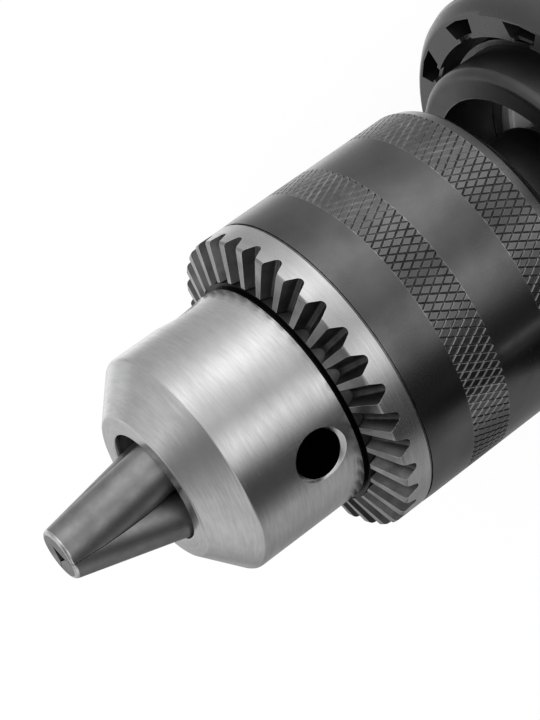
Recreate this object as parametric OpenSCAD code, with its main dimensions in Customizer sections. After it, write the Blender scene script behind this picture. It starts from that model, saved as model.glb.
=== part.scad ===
// Corded hammer drill with a keyed chuck and a side handle.
// X runs along the spindle, from the tips of the closed jaws to the back. Z is up.
// Angles about the spindle count from the top, towards +Y.

/* [Chuck jaws] */
// Largest shank that the jaws hold
chuck_capacity = 13; // [10:0.5:13]
// Smallest shank that the jaws hold
smallest_shank = 1.5; // [1:0.25:2]
// Diameter of the rod that each jaw is cut from
jaw_d = 7; // [6:0.25:7]
// Diameter over the three closed jaws at their tips
jaw_tip_d = 6.9; // [6.4:0.1:7.2]
// Slope of the jaws to the spindle
jaw_slope = 15.5; // [15:0.25:16]
// How far the closed jaws stand out of the nose
jaw_reach = 14.5; // [13:0.5:16]
// Length of a closed jaw, measured along the spindle
jaw_len = 43; // [41:0.5:44]
// Turn of the first jaw from the top at rest
chuck_turn = 1.8; // [-30:0.1:30]

/* [Chuck body] */
// Diameter of the ground body
body_d = 31.4; // [30.4:0.2:32.4]
// Diameter of the flat face at the nose
nose_d = 20.6; // [18:0.2:22]
// Length of the cone behind the nose face
nose_cone_len = 4.9; // [3:0.1:6]
// Length of the ground body that shows in front of the sleeve
body_show_len = 16.25; // [15:0.25:18]
// Diameter of the three key pilot holes
key_hole_d = 6.3; // [5.5:0.1:6.5]
// Distance of the key pilot holes behind the cone
key_hole_setback = 10.65; // [9:0.25:12]
// Diameter of the bore for the shank
shank_bore_d = 13.2; // [13.2:0.2:14]
// Diameter of the hub behind the chuck
hub_d = 21.6; // [19:0.2:23]
// Length of that hub
hub_len = 12; // [10:0.5:14]
// Diameter of the spindle thread in the chuck
spindle_thread_d = 12.7; // [11:0.1:13]

/* [Chuck sleeve] */
// Diameter of the sleeve
sleeve_d = 43; // [42:0.5:45]
// Length of the sleeve
sleeve_len = 34.25; // [33:0.25:36]
// Wall of the sleeve
sleeve_wall = 2; // [1.6:0.1:2.2]
// Teeth of the ring at the front of the sleeve
ring_teeth = 33; // [30:1:36]
// Depth of the tooth gaps at the outside of the ring
tooth_gap_depth = 3.3; // [2.6:0.1:3.6]
// Length of the split nut
nut_len = 7.2; // [6:0.2:8]
// Thickness of the thrust race behind the nut
race_t = 1.4; // [1:0.1:2]

/* [Spindle and ratchet] */
// Gap from the sleeve to the collar of the gear housing
collar_gap = 8.5; // [6:0.5:12]
// Diameter of the collar
collar_d = 43; // [43:0.5:46]
// Length of the collar
collar_len = 23.6; // [23.6:0.1:28]
// Depth from the collar's face to the front bearing
bearing_depth = 11.1; // [10.5:0.1:12]
// Outer diameter of the front bearing
front_bearing_d = 35; // [35:1:36]
// Bore of the front bearing
front_bearing_bore = 17; // [15:1:17]
// Width of the front bearing
front_bearing_w = 10; // [9:0.5:11]
// Stroke of the spindle in hammer mode
hammer_stroke = 1.2; // [0.8:0.1:1.2]
// Teeth of each ratchet
ratchet_teeth = 20; // [12:4:20]
// Height of the ratchet teeth
ratchet_tooth_h = 1.1; // [1.1:0.05:1.3]
// Wire of the return spring
spring_wire = 1.2; // [1:0.1:1.3]
// Turns of the return spring
spring_turns = 3; // [2:1:3]
// Diameter of the spindle's rear journal
spindle_tail_d = 10; // [8:0.5:11]

/* [Gears] */
// Module of the gear teeth
gear_module = 0.7; // [0.68:0.01:0.72]
// Teeth of the spindle gear
gear_teeth = 63; // [62:1:64]
// Teeth of the pinion on the motor shaft
pinion_teeth = 7; // [6:1:8]
// Face width of the spindle gear
gear_w = 8.5; // [6:0.5:8.5]

/* [Motor] */
// Diameter of the field core
field_d = 56; // [54:0.5:56.5]
// Diameter of the laminated core of the armature
core_d = 34.4; // [32:0.2:35]
// Length of both cores
core_len = 40; // [34:1:42]
// Slots of the armature core
core_slots = 12; // [10:1:14]
// Diameter of the motor shaft
motor_shaft_d = 10; // [9:0.5:10]
// Diameter of the fan
fan_d = 54; // [48:1:56]
// Blades of the fan
fan_blades = 11; // [9:1:13]
// Diameter of the commutator
commutator_d = 22; // [20:0.5:24]
// Length of the commutator
commutator_len = 14; // [12:0.5:15]

/* [Housing] */
// Wall of the housing shells
wall = 3; // [2.6:0.1:3.2]
// Radius of the housing round the spindle
gear_case_r = 27; // [26.5:0.25:28]
// Clear space between the field core and the inside of the shells
field_space = 2; // [1.5:0.25:3]
// Height of the housing's top at its back
rear_top_z = 15; // [12:0.5:18]
// Length of the housing shells along the barrel
barrel_len = 113; // [113:1:118]

/* [Handle and controls] */
// Width of the handle
handle_w = 34; // [33:0.5:37]
// Depth of the handle, front to back
handle_depth = 38; // [37:0.5:40]
// Backward slope of the handle
handle_slope = 9; // [7:0.5:11]
// Height of the handle's foot under the spindle
foot_z = -178; // [-182:1:-174]
// Travel of the trigger
trigger_travel = 6; // [4:0.5:6]
// Width of the trigger
trigger_w = 20; // [17:0.5:21]
// Travel of the lock-on button
lock_travel = 2.5; // [1.5:0.25:3]
// Swing of the direction lever each way
lever_swing = 12; // [8:1:12]
// Travel of the mode selector
selector_travel = 8; // [7:0.5:8]
// Bore of the cord inlet
cord_bore_d = 8.5; // [7:0.25:9]

/* [Side handle] */
// Radius of the notched clamp ring
ring_r = 29; // [28.5:0.25:30]
// Width of the clamp ring
ring_w = 18; // [16:0.5:18]
// Number of notches in the ring's face
ring_notches = 12; // [10:1:14]
// Length of the side grip
side_grip_len = 116; // [105:1:125]
// Largest diameter of the side grip
side_grip_d = 36; // [33:0.5:38]
// Diameter of the stud that draws the band tight
stud_d = 8; // [7:0.5:8]
// Diameter of the depth rod
rod_d = 6; // [5:0.25:6.5]
// Length of the depth rod
rod_len = 165; // [140:1:180]

/* [Fits] */
// Radial clearance of running fits
run_gap = 0.05; // [0.03:0.01:0.08]
// Clearance between parts that don't move on each other
still_gap = 0.03; // [0.02:0.01:0.05]
// Clearance round buttons, levers and loose covers
loose_gap = 0.4; // [0.3:0.05:0.5]

/* [Hidden] */
$fn = 96;
// Anything cut away runs this far past the surface it leaves
past = 1;

// Chuck stations along the spindle
jaw_r = jaw_d / 2;
jaw_tip_r = jaw_tip_d / 2;
jaw_axis_r0 = jaw_tip_r - jaw_r / cos(jaw_slope);
jaw_radial_travel = (chuck_capacity - smallest_shank) / 2;
jaw_travel = jaw_radial_travel / sin(jaw_slope);
function jaw_back(x) = jaw_tip_r + x * tan(jaw_slope);
nose_x = jaw_reach;
bevel_x = nose_x + nose_cone_len;
sleeve_x = bevel_x + body_show_len;
sleeve_end = sleeve_x + sleeve_len;
body_r = body_d / 2;
lip_gap = 0.6;
lip_r = body_r + lip_gap;
lip_len = 3.7;
sleeve_r = sleeve_d / 2;
cavity_r = sleeve_r - sleeve_wall;
seat_x = sleeve_x + lip_len;
nut_x = seat_x + 0.1;
race_x = nut_x + nut_len + 0.2;
flange_x = race_x + race_t + 0.2;
flange_end = sleeve_end + 1.5;
flange_r = cavity_r - 0.08;
groove_r = jaw_back(seat_x) - 0.75;
hub_r = hub_d / 2;
hub_end = flange_end + hub_len;
shank_r = shank_bore_d / 2;
web_x = 53.1;
web_t = 4.3;
thread_r = spindle_thread_d / 2;
screw_r = 3;
screw_head_r = 4.8;
screw_head_t = 3.6;
// The jaws' tails are flattened so that they stay inside the sleeve when the chuck is open
tail_flat = sqrt(pow(cavity_r - 0.12, 2) - jaw_r * jaw_r) - jaw_radial_travel;

// Gear housing and ratchet stations
collar_x = sleeve_end + collar_gap;
collar_r = collar_d / 2;
collar_end = collar_x + collar_len;
bearing_x = collar_x + bearing_depth;
bearing_end = bearing_x + front_bearing_w;
bearing_r = front_bearing_d / 2;
journal_r = front_bearing_bore / 2;
circlip_t = 1.2;
circlip_depth = 0.8;
shoulder_t = 1.2;
shoulder_r = bearing_r - 2;
turning_hub_r = shoulder_r - 3.5;
turning_x = bearing_end + 0.1;
turning_flange_x = bearing_end + shoulder_t + 0.2;
turning_valley_x = turning_flange_x + 1.1;
turning_tip_x = turning_valley_x + ratchet_tooth_h;
fixed_tip_x = turning_tip_x + 0.3;
fixed_valley_x = fixed_tip_x + ratchet_tooth_h;
// The valleys stand this far above the face that the teeth rise from
valley_rise = 0.05;
ratchet_in_r = 13.5;
ratchet_out_r = 17.4;
fixed_r = 20.5;
floor_t = 1.5;
fixed_floor_x = turning_valley_x + 8.6;
fixed_end = fixed_floor_x + floor_t;
washer_t = 0.8;
spring_r = 10.9;
spindle_neck_r = journal_r - 1.5;
gear_x = fixed_end + 1.7;
gear_end = gear_x + gear_w;
plate_gap = 1.1;
plate_x = gear_end + hammer_stroke + plate_gap;
plate_t = 3.4;
plate_boss = 4.1;
shell_x = plate_x + plate_t + 0.1;
tail_end = plate_x + plate_t + plate_boss + 0.7;
tail_r = spindle_tail_d / 2;
selector_x = tail_end + 0.4;
selector_t = 1.6;

// Gear pair
gear_r = gear_module * gear_teeth / 2;
pinion_r = gear_module * pinion_teeth / 2;
motor_drop = gear_r + pinion_r;
gear_tip_r = gear_r + 0.9 * gear_module;

// Motor stations
core_r = core_d / 2;
field_r = field_d / 2;
slot_r = 2.4;
slot_circle_r = core_r - 4.6;
motor_bearing_r = 11;
motor_bearing_bore = 4;
motor_bearing_w = 7;
motor_bearing_x = plate_x + 0.5;
fan_x = selector_x + selector_t + 1.4;
fan_w = 9;
core_x = fan_x + fan_w + 7.5;
core_end = core_x + core_len;
commutator_x = core_end + 9;
// The rear bearing stands behind the longest core and the longest commutator
longest_core = 42;
commutator_room = 26.5;
rear_bearing_x = core_x + longest_core + commutator_room;
rear_bearing_r = 9.5;
rear_bearing_bore = 3.5;
rear_bearing_w = 6;
boot_t = 1.5;
shaft_r = motor_shaft_d / 2;
brush_x = commutator_x + commutator_len / 2;
brush_size = [6.4, 11, 5];
holder_wall = 0.8;

// Housing
motor_case_r = field_r + field_space + wall;
holder_end = motor_case_r - wall - 1.3;
barrel_end = shell_x + barrel_len;
case_lug_r = 4.5;
case_lug_x = plate_x - 8;
case_screw_spots = [[21.5, 17.5], [-21.5, 17.5], [26, -21 - motor_drop], [-26, -21 - motor_drop]];
case_screw_r = 2;
shell_screw_r = 1.95;
handle_top_x = barrel_end - 30;
handle_mid_z = -62;
foot_h = 12;
foot_grow = 2.5;
pad_t = 1.6;
seam_gap = 0.03;
function handle_x(z) = handle_top_x + (handle_mid_z - z) * tan(handle_slope);
// Places of the shell screws, along the spindle and up
front_screw_x = shell_x + 22;
middle_screw_x = shell_x + 78;
rear_screw_x = barrel_end - 8.5;
handle_screw_z = -105;
foot_screw_z = -141;
shell_screw_spots = [
    [front_screw_x, 14], [middle_screw_x, 9], [rear_screw_x, -6], [rear_screw_x, -50],
    [handle_x(handle_screw_z) + 9, handle_screw_z], [handle_x(foot_screw_z), foot_screw_z]
];

// Controls
switch_size = [25.4, 20.4, 34];
switch_x = handle_top_x - 9;
switch_z = -98;
switch_top = switch_z + switch_size[2];
plunger_z = switch_top - 14;
plunger_r = 3;
// The trigger's foot and top stay this far inside the switch's
trigger_lift = 3;
trigger_head = 1;
trigger_h = switch_size[2] - trigger_lift - trigger_head;
trigger_x = switch_x - 22;
trigger_z = switch_z + trigger_lift;
dial_z = trigger_z + trigger_h - 9;
lever_z = switch_top + 0.4;
lever_t = 3;
lever_pivot_x = switch_x + 10;
dial_r = 5.5;
lock_z = -84;
lock_x = handle_x(lock_z) + 0.5;
lock_r = 5;
capacitor_size = [20, 10, 14];
rib_z = -131;
clamp_z = -156;
cord_bore_r = cord_bore_d / 2;
bush_z = foot_z + 1.2;
bush_h = 14;
bush_x = handle_x(foot_z);

// Side handle
ring_x = hub_end;
ring_end = ring_x + ring_w;
band_t = 0.75;
band_r = collar_r + run_gap + band_t;
ring_bore_r = band_r + still_gap;
ring_mouth_r = band_r + 1.5;
ring_mid_x = ring_x + ring_w / 2;
stud_r = stud_d / 2;
stud_head = 3;
block_y = -50;
block_w = 15;
rod_r = rod_d / 2;
rod_y = -38.5;
rod_z = stud_r + rod_r + 2.6;
block_top = rod_z + rod_r + 3;
block_low = -13;
rod_start = ring_x - 20;
stud_end = block_y - 36;
grip_flange_r = 21;
nut_y = block_y - 9;

// Tools that the parts share

// Places a shape at a station and turns its Z along the spindle
module at_x(x) translate([x, 0, 0]) rotate([0, 90, 0]) children();

// Turns a shape about the spindle, from the top towards +Y
module around(angle) rotate([-angle, 0, 0]) children();

// Moves a shape from the spindle to the motor's axis
module at_motor() translate([0, 0, -motor_drop]) children();

module rod_x(x0, x1, r) at_x(x0) cylinder(h = x1 - x0, r = r);

module tube_x(x0, x1, r_out, r_in) {
    difference() {
        rod_x(x0, x1, r_out);
        rod_x(x0 - past, x1 + past, r_in);
    }
}

// A shape turned about the spindle from [station, radius] points
module turned(points) {
    rotate([0, 90, 0]) rotate_extrude() polygon([for (p = points) [p[1], p[0]]]);
}

// A shape turned about the Y axis through the ring's middle, from [distance towards -Y, radius] points
module turned_side(points) {
    translate([ring_mid_x, 0, 0]) rotate([90, 0, 0]) rotate_extrude() polygon([for (p = points) [p[1], p[0]]]);
}

// The points of one rounded corner at b
function corner(a, b, c, r) =
    r <= 0 ? [b] :
    let (
        u = (a - b) / norm(a - b),
        v = (c - b) / norm(c - b),
        half = acos(u * v) / 2,
        centre = b + (u + v) / norm(u + v) * r / sin(half),
        p = b + u * r / tan(half) - centre,
        q = b + v * r / tan(half) - centre,
        start = atan2(p[1], p[0]),
        turn = atan2(p[0] * q[1] - p[1] * q[0], p * q),
        steps = max(2, ceil(abs(turn) / 12))
    )
    [for (i = [0:steps]) centre + r * [cos(start + turn * i / steps), sin(start + turn * i / steps)]];

// An outline with each corner rounded by its radius
function rounded(points, radii) =
    let (n = len(points))
    [for (i = [0:n - 1]) each corner(points[(i + n - 1) % n], points[i], points[(i + 1) % n], radii[i])];

// A rounded block between two corners
function rounded_box(x0, x1, y0, y1, r) = rounded([[x0, y0], [x1, y0], [x1, y1], [x0, y1]], [r, r, r, r]);

// Places an outline of [y, z] points across the spindle and draws it from one station to another
module across_x(x0, x1) translate([x0, 0, 0]) rotate([90, 0, 90]) linear_extrude(x1 - x0) children();

// Draws an outline of [x, z] points sideways, from y0 to y1
module across_y(y0, y1) translate([0, y1, 0]) rotate([90, 0, 0]) linear_extrude(y1 - y0) children();

// A screw along the spindle, with its head in front of x_head
module screw_x(x_head, x_end, r, head_r, head_t) {
    rod_x(x_head, x_end, r);
    rod_x(x_head - head_t, x_head + 0.01, head_r);
}

// Points of a helix with flat ends, along Z
function helix_points(r, length, turns, rings) =
    [for (i = [0:turns * rings]) let (a = 360 * i / rings) [r * cos(a), r * sin(a), length * i / (turns * rings)]];

// A wire of six sides swept along points
module wire(points, r) {
    sides = 6;
    n = len(points);
    frames = [for (i = [0:n - 1])
        let (
            ahead = points[min(i + 1, n - 1)] - points[max(i - 1, 0)],
            t = ahead / norm(ahead),
            side = cross(t, [0, 0, 1]) / norm(cross(t, [0, 0, 1]))
        )
        [side, cross(side, t)]];
    skin = [for (i = [0:n - 1]) for (k = [0:sides - 1])
        points[i] + r * (cos(60 * k) * frames[i][0] + sin(60 * k) * frames[i][1])];
    walls = [for (i = [0:n - 2]) for (k = [0:sides - 1])
        let (a = i * sides + k, b = i * sides + (k + 1) % sides)
        each [[a, b, b + sides], [a, b + sides, a + sides]]];
    front = [for (k = [1:sides - 2]) [0, k + 1, k]];
    last = (n - 1) * sides;
    back = [for (k = [1:sides - 2]) [last, last + k, last + k + 1]];
    polyhedron(skin, concat(walls, front, back));
}

// Least gap between neighbouring turns of a helix of wire
function wire_gap(length, turns, r) = length / turns - 2 * r;

// Outline of straight-flanked gear teeth
function gear_points(teeth, r, tip, root, tip_w, pitch_w, root_w) =
    [for (i = [0:teeth - 1]) each [for (p = [[root, -root_w], [r, -pitch_w], [tip, -tip_w],
                                            [tip, tip_w], [r, pitch_w], [root, root_w]])
        let (a = 360 * i / teeth + asin(p[1] / 2 / p[0])) p[0] * [cos(a), sin(a)]]];

// Outline of the barrel across the spindle, drawn in by t
function barrel_points(t) =
    let (
        lean = asin((motor_case_r - gear_case_r) / motor_drop),
        top = gear_case_r - t,
        low = motor_case_r - t,
        n = 14
    )
    concat(
        [for (i = [0:n]) let (a = lean + (180 - 2 * lean) * i / n) top * [cos(a), sin(a)]],
        [for (i = [0:n + 2]) let (a = 180 - lean + (180 + 2 * lean) * i / (n + 2))
            [0, -motor_drop] + low * [cos(a), sin(a)]]
    );

// Chuck

module chuck_body() {
    color("#c8c8c8")
    difference() {
        turned([
            [nose_x, shank_r - 2], [nose_x, nose_d / 2], [bevel_x, body_r], [seat_x - 0.4, body_r],
            [seat_x - 0.4, groove_r], [flange_x, groove_r], [flange_x, flange_r], [flange_end - 1, flange_r],
            [flange_end, flange_r - 1], [flange_end, hub_r], [hub_end - 0.8, hub_r], [hub_end, hub_r - 0.8],
            [hub_end, thread_r], [web_x + web_t, thread_r], [web_x + web_t, screw_r + 0.1],
            [web_x, screw_r + 0.1], [web_x, shank_r - 2]
        ]);
        rod_x(nose_x - past, web_x, shank_r);
        // Round mouth that clears the backs of the jaws
        turned([
            [nose_x - past, 0], [nose_x - past, jaw_back(nose_x) + 0.2], [nose_x + 1, jaw_back(nose_x) + 0.2],
            [nose_x + 5, shank_r], [nose_x + 5, 0]
        ]);
        for (i = [0:2]) {
            around(chuck_turn + 120 * i) jaw_bore();
            around(chuck_turn + 60 + 120 * i) key_hole();
        }
    }
}

// The sloping bore that one jaw slides in
module jaw_bore() {
    translate([0, 0, jaw_axis_r0]) rotate([0, 90 - jaw_slope, 0])
        cylinder(h = (jaw_len + 1) / cos(jaw_slope) + jaw_travel, r = jaw_r + run_gap);
}

// A blind pilot hole for the key, with a bright chamfer at its lip
module key_hole() {
    key_r = key_hole_d / 2;
    floor_r = shank_r + 1;
    translate([bevel_x + key_hole_setback, 0, 0]) {
        translate([0, 0, floor_r]) cylinder(h = body_r, r = key_r);
        translate([0, 0, body_r - 0.6]) cylinder(h = 1, r1 = key_r, r2 = key_r + 0.8);
    }
}

module jaw(index) {
    land = smallest_shank / 2;
    face_gap = 0.05;
    color("#6f6f6f")
    around(chuck_turn + 120 * index) intersection() {
        difference() {
            translate([0, 0, jaw_axis_r0]) rotate([0, 90 - jaw_slope, 0])
                translate([0, 0, -2 * jaw_d])
                cylinder(h = 2 * jaw_d + (jaw_len - jaw_r * sin(jaw_slope)) / cos(jaw_slope), r = jaw_r);
            // The grip faces, which meet those of the next jaws
            for (side = [-1, 1])
                rotate([side * 60, 0, 0]) translate([-jaw_len, side > 0 ? face_gap - 40 : -face_gap, -20])
                    cube([3 * jaw_len, 40, 60]);
            // The narrow land that holds the smallest shank
            translate([-past, -jaw_d, -jaw_d]) cube([2 * jaw_len, 2 * jaw_d, jaw_d + land]);
        }
        translate([0, -jaw_d, -jaw_d]) cube([2 * jaw_len, 2 * jaw_d, jaw_d + tail_flat]);
    }
}

module split_nut() {
    color("#8a8a8a")
    difference() {
        turned([
            [nut_x, jaw_back(nut_x) + 0.12], [nut_x, cavity_r - still_gap],
            [nut_x + nut_len, cavity_r - still_gap], [nut_x + nut_len, jaw_back(nut_x + nut_len) + 0.12]
        ]);
        translate([nut_x - past, -0.3, -sleeve_d]) cube([nut_len + 2 * past, 0.6, 2 * sleeve_d]);
    }
}

module thrust_race() {
    color("#a0a0a0") tube_x(race_x, race_x + race_t, flange_r - 0.1, jaw_back(race_x + race_t) + 0.2);
}

module chuck_sleeve() {
    land_rise = 1.35;
    edge = 0.3;
    color("#4a4a4a")
    difference() {
        turned([
            [sleeve_x, lip_r], [sleeve_x + land_rise, sleeve_r - edge], [sleeve_x + land_rise + edge, sleeve_r - 0.05],
            [sleeve_x + 5.4, sleeve_r - 0.05], [sleeve_x + 5.4, sleeve_r - 0.25], [sleeve_x + 5.7, sleeve_r - 0.25],
            [sleeve_x + 5.7, sleeve_r - 0.05], [sleeve_x + 7.4, sleeve_r], [sleeve_end - 2, sleeve_r],
            [sleeve_end - 0.5, sleeve_r - 0.5], [sleeve_end, sleeve_r - 1], [sleeve_end, cavity_r],
            [seat_x, cavity_r], [seat_x, lip_r]
        ]);
        for (i = [0:ring_teeth - 1]) around(chuck_turn + 360 * (i + 0.005) / ring_teeth) tooth_gap(land_rise);
    }
}

// One straight-sided gap between two ring teeth, running outwards and back
module tooth_gap(land_rise) {
    inner_depth = 1.4;
    floor_w = 0.35;
    rise = tooth_gap_depth - inner_depth;
    tilt = atan(rise / (sleeve_r - lip_r));
    wide = 6;
    translate([sleeve_x + inner_depth, 0, lip_r]) rotate([0, tilt, 0]) translate([0, 0, -2])
        linear_extrude(sleeve_r - lip_r + 5)
        polygon([[0, -floor_w], [0, floor_w], [-wide, floor_w + wide * tan(30)], [-wide, -floor_w - wide * tan(30)]]);
}

module chuck_screw() {
    color("#777777")
    difference() {
        screw_x(web_x - still_gap, web_x + web_t + 14, screw_r, screw_head_r, screw_head_t);
        at_x(web_x - screw_head_t - past) cylinder(h = 2 + past, r = 2.6, $fn = 6);
    }
}

// Spindle and ratchet

module spindle() {
    front = web_x + web_t + 0.1;
    color("#9a9a9a")
    difference() {
        turned([
            [front, screw_r + 0.05], [front, thread_r - 0.05], [hub_end + 0.1, thread_r - 0.05],
            [hub_end + 0.1, hub_r - 1], [bearing_x - hammer_stroke - 0.3, hub_r - 1],
            [bearing_x - hammer_stroke - 0.3, journal_r - run_gap], [turning_valley_x, journal_r - run_gap],
            [turning_valley_x, spindle_neck_r], [gear_end + 0.3, spindle_neck_r],
            [gear_end + 0.3, tail_r - run_gap], [tail_end - 0.5, tail_r - run_gap],
            [tail_end, tail_r - 0.5], [tail_end, 0], [front + 18, 0], [front + 18, screw_r + 0.05]
        ]);
        // Two flats for a spanner behind the chuck
        for (side = [0, 180]) around(side) translate([hub_end + 1.4, -hub_d, hub_r - 2.2]) cube([2.6, 2 * hub_d, 5]);
    }
}

module spindle_gear() {
    m = gear_module;
    color("#b0a070")
    difference() {
        across_x(gear_x, gear_end) rotate(180 / gear_teeth + 90) polygon(gear_points(
            gear_teeth, gear_r, gear_tip_r, gear_r - 1.15 * m, 0.6 * m, 1.25 * m, 1.8 * m));
        rod_x(gear_x - past, gear_end + past, spindle_neck_r + still_gap);
        tube_x(gear_x - past, gear_x + 1.5, gear_r - 4, spindle_neck_r + 4);
        tube_x(gear_end - 1.5, gear_end + past, gear_r - 4, spindle_neck_r + 4);
    }
}

// Gaps between the teeth on a ratchet's face, from the valleys out past the tips
module ratchet_gaps(valley_x, direction) {
    for (i = [0:ratchet_teeth - 1]) around(360 * i / ratchet_teeth)
        translate([valley_x, 0, ratchet_in_r - 3]) linear_extrude(12) polygon([
            [0, -1.3], [direction * 2 * ratchet_tooth_h, -2.1],
            [direction * 2 * ratchet_tooth_h, 2.1], [0, 1.3]
        ]);
}

module turning_ratchet() {
    color("#8c8c8c")
    difference() {
        turned([
            [turning_x, journal_r + still_gap], [turning_x, turning_hub_r], [turning_flange_x, turning_hub_r],
            [turning_flange_x, ratchet_out_r], [turning_tip_x, ratchet_out_r], [turning_tip_x, ratchet_in_r],
            [turning_valley_x, ratchet_in_r], [turning_valley_x, journal_r + still_gap]
        ]);
        ratchet_gaps(turning_valley_x + valley_rise, 1);
    }
}

module thrust_washer() {
    color("#a8a8a8")
        tube_x(turning_valley_x + 0.02, turning_valley_x + washer_t, spring_r + 1.2, spindle_neck_r + 1);
}

module ratchet_spring() {
    start = turning_valley_x + washer_t + spring_wire / 2 + 0.1;
    length = fixed_floor_x - spring_wire / 2 - 0.1 - start;
    echo(least_gap_of_return_spring = wire_gap(length, spring_turns, spring_wire / 2));
    color("#b8b8b8") at_x(start) wire(helix_points(spring_r, length, spring_turns, 8), spring_wire / 2);
}

module fixed_ratchet() {
    color("#8c8c8c")
    difference() {
        turned([
            [fixed_tip_x, ratchet_in_r], [fixed_tip_x, ratchet_out_r], [fixed_valley_x, ratchet_out_r],
            [fixed_valley_x, fixed_r], [fixed_end, fixed_r], [fixed_end, spindle_neck_r + 2],
            [fixed_floor_x, spindle_neck_r + 2], [fixed_floor_x, ratchet_in_r]
        ]);
        around(180 / ratchet_teeth) ratchet_gaps(fixed_valley_x - valley_rise, -1);
    }
}

// Ball bearing: outer race with its shields, inner race and balls
module bearing(x, width, bore_r, out_r, balls) {
    race = (out_r - bore_r) * 0.28;
    ball_r = (out_r - bore_r) * 0.22 - 0.01;
    shield_in = 0.35;
    shield_t = 0.4;
    tube_x(x, x + width, out_r - still_gap, out_r - race);
    for (s = [x + shield_in, x + width - shield_in - shield_t])
        tube_x(s, s + shield_t, out_r - race + 0.01, bore_r + race + 0.2);
    tube_x(x, x + width, bore_r + race, bore_r);
    for (i = [0:balls - 1]) around(360 * i / balls)
        translate([x + width / 2, 0, (bore_r + out_r) / 2]) sphere(r = ball_r, $fn = 32);
}

module front_bearing() color("#d0d0d0") bearing(bearing_x, front_bearing_w, journal_r, bearing_r, 10);

module retaining_ring() {
    ear_r = 2;
    color("#606060")
    difference() {
        tube_x(bearing_x - circlip_t - 0.05, bearing_x - 0.05, bearing_r + circlip_depth - 0.1, bearing_r - 1.9);
        around(240) translate([bearing_x - 2 * circlip_t, -ear_r, 0]) cube([3 * circlip_t, 2 * ear_r, 2 * bearing_r]);
    }
}

module spindle_bush() color("#b08d57") tube_x(plate_x, plate_x + plate_t + plate_boss, tail_r + 2, tail_r);

// Housing

module gear_housing() {
    round_edge = 1.4;
    front_wall = gear_case_r + 0.5;
    color("#3c3c3e")
    difference() {
        union() {
            // Collar with a rounded front edge, and the case round the gear
            turned([
                [collar_x, bearing_r - 1], [collar_x, collar_r - round_edge],
                for (a = [15:15:75]) [collar_x + round_edge * (1 - cos(a)), collar_r - round_edge * (1 - sin(a))],
                [collar_x + round_edge, collar_r], [collar_end, collar_r], [collar_end + 7, gear_case_r - 1.5],
                [collar_end + 9, gear_case_r], [plate_x + plate_t, gear_case_r], [plate_x + plate_t, bearing_r - 1]
            ]);
            // Rounded lower nose in front of the motor
            at_motor() turned([
                [plate_x - 18, 0],
                for (a = [0:10:90]) [plate_x - 2 - 16 * cos(a), 10 + (motor_case_r - 10) * sin(a)],
                [plate_x + plate_t, motor_case_r], [plate_x + plate_t, 0]
            ]);
            across_x(plate_x - 5, plate_x + plate_t) polygon(barrel_points(0));
            for (spot = case_screw_spots) translate([0, spot[0], spot[1]])
                rod_x(case_lug_x, plate_x + plate_t, case_lug_r);
        }
        // Bearing bore with the retaining ring's groove
        rod_x(collar_x - past, bearing_end, bearing_r);
        rod_x(bearing_x - circlip_t - 0.15, bearing_x, bearing_r + circlip_depth);
        rod_x(bearing_end - past, turning_flange_x, shoulder_r);
        rod_x(bearing_end + shoulder_t, fixed_valley_x, ratchet_out_r + 0.6);
        rod_x(fixed_valley_x, fixed_end + still_gap, fixed_r + still_gap);
        rod_x(fixed_end, plate_x, gear_tip_r + 1.2);
        at_motor() rod_x(gear_x - 2, plate_x, 8);
        // Room for the bearing plate
        across_x(plate_x, plate_x + plate_t + past) polygon(barrel_points(wall));
        for (spot = case_screw_spots) translate([0, spot[0], spot[1]]) {
            rod_x(case_lug_x - past, shell_x + past, case_screw_r + 0.1);
            rod_x(case_lug_x - 6, case_lug_x + 0.6, case_lug_r - 0.8);
        }
    }
}

module bearing_plate() {
    color("#8f9092")
    difference() {
        union() {
            across_x(plate_x, plate_x + plate_t) polygon(barrel_points(wall + 0.1));
            rod_x(plate_x + plate_t - 0.5, plate_x + plate_t + plate_boss, tail_r + 5);
            at_motor() rod_x(plate_x + plate_t - 0.5, plate_x + plate_t + plate_boss, motor_bearing_r + 2.5);
        }
        rod_x(plate_x - past, tail_end + past, tail_r + 2 + still_gap);
        at_motor() rod_x(plate_x + 0.5, tail_end + past, motor_bearing_r);
        at_motor() rod_x(plate_x - past, plate_x + past, motor_bearing_r - 2);
    }
}

module gear_housing_screws() {
    color("#707070")
    for (spot = case_screw_spots) translate([0, spot[0], spot[1]]) difference() {
        screw_x(case_lug_x + 0.6 - still_gap, shell_x + 11.5, case_screw_r, case_lug_r - 1, 3.4);
        at_x(case_lug_x - 2.8 - past) cylinder(h = 2 + past, r = 1.8, $fn = 6);
    }
}

// Shape of the shells' barrel, drawn in by t
module barrel(t) {
    far = 60;
    slope_top = gear_case_r + 3;
    intersection() {
        across_x(shell_x, barrel_end) polygon(barrel_points(t));
        across_y(-far, far) polygon(rounded(
            [[shell_x - past, slope_top - t], [barrel_end - t, rear_top_z - t], [barrel_end - t, -90], [shell_x - past, -90]],
            [0, 18 - t, 0, 0]));
        translate([0, 0, -90]) linear_extrude(150) polygon(rounded(
            [[shell_x - past, -far], [barrel_end - t, -far], [barrel_end - t, far], [shell_x - past, far]],
            [0, far / 2 + 10, far / 2 + 10, 0]));
    }
}

// Handle prism along its own slope, drawn in by t, from one height along it to another
module handle_prism(t, low, high, grow) {
    x = handle_depth / 2 - t + grow;
    y = handle_w / 2 - t + grow;
    translate([handle_top_x, 0, handle_mid_z]) rotate([0, -handle_slope, 0])
        translate([0, 0, low]) linear_extrude(high - low) polygon(rounded_box(-x, x, -y, y, y - 3));
}

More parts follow.
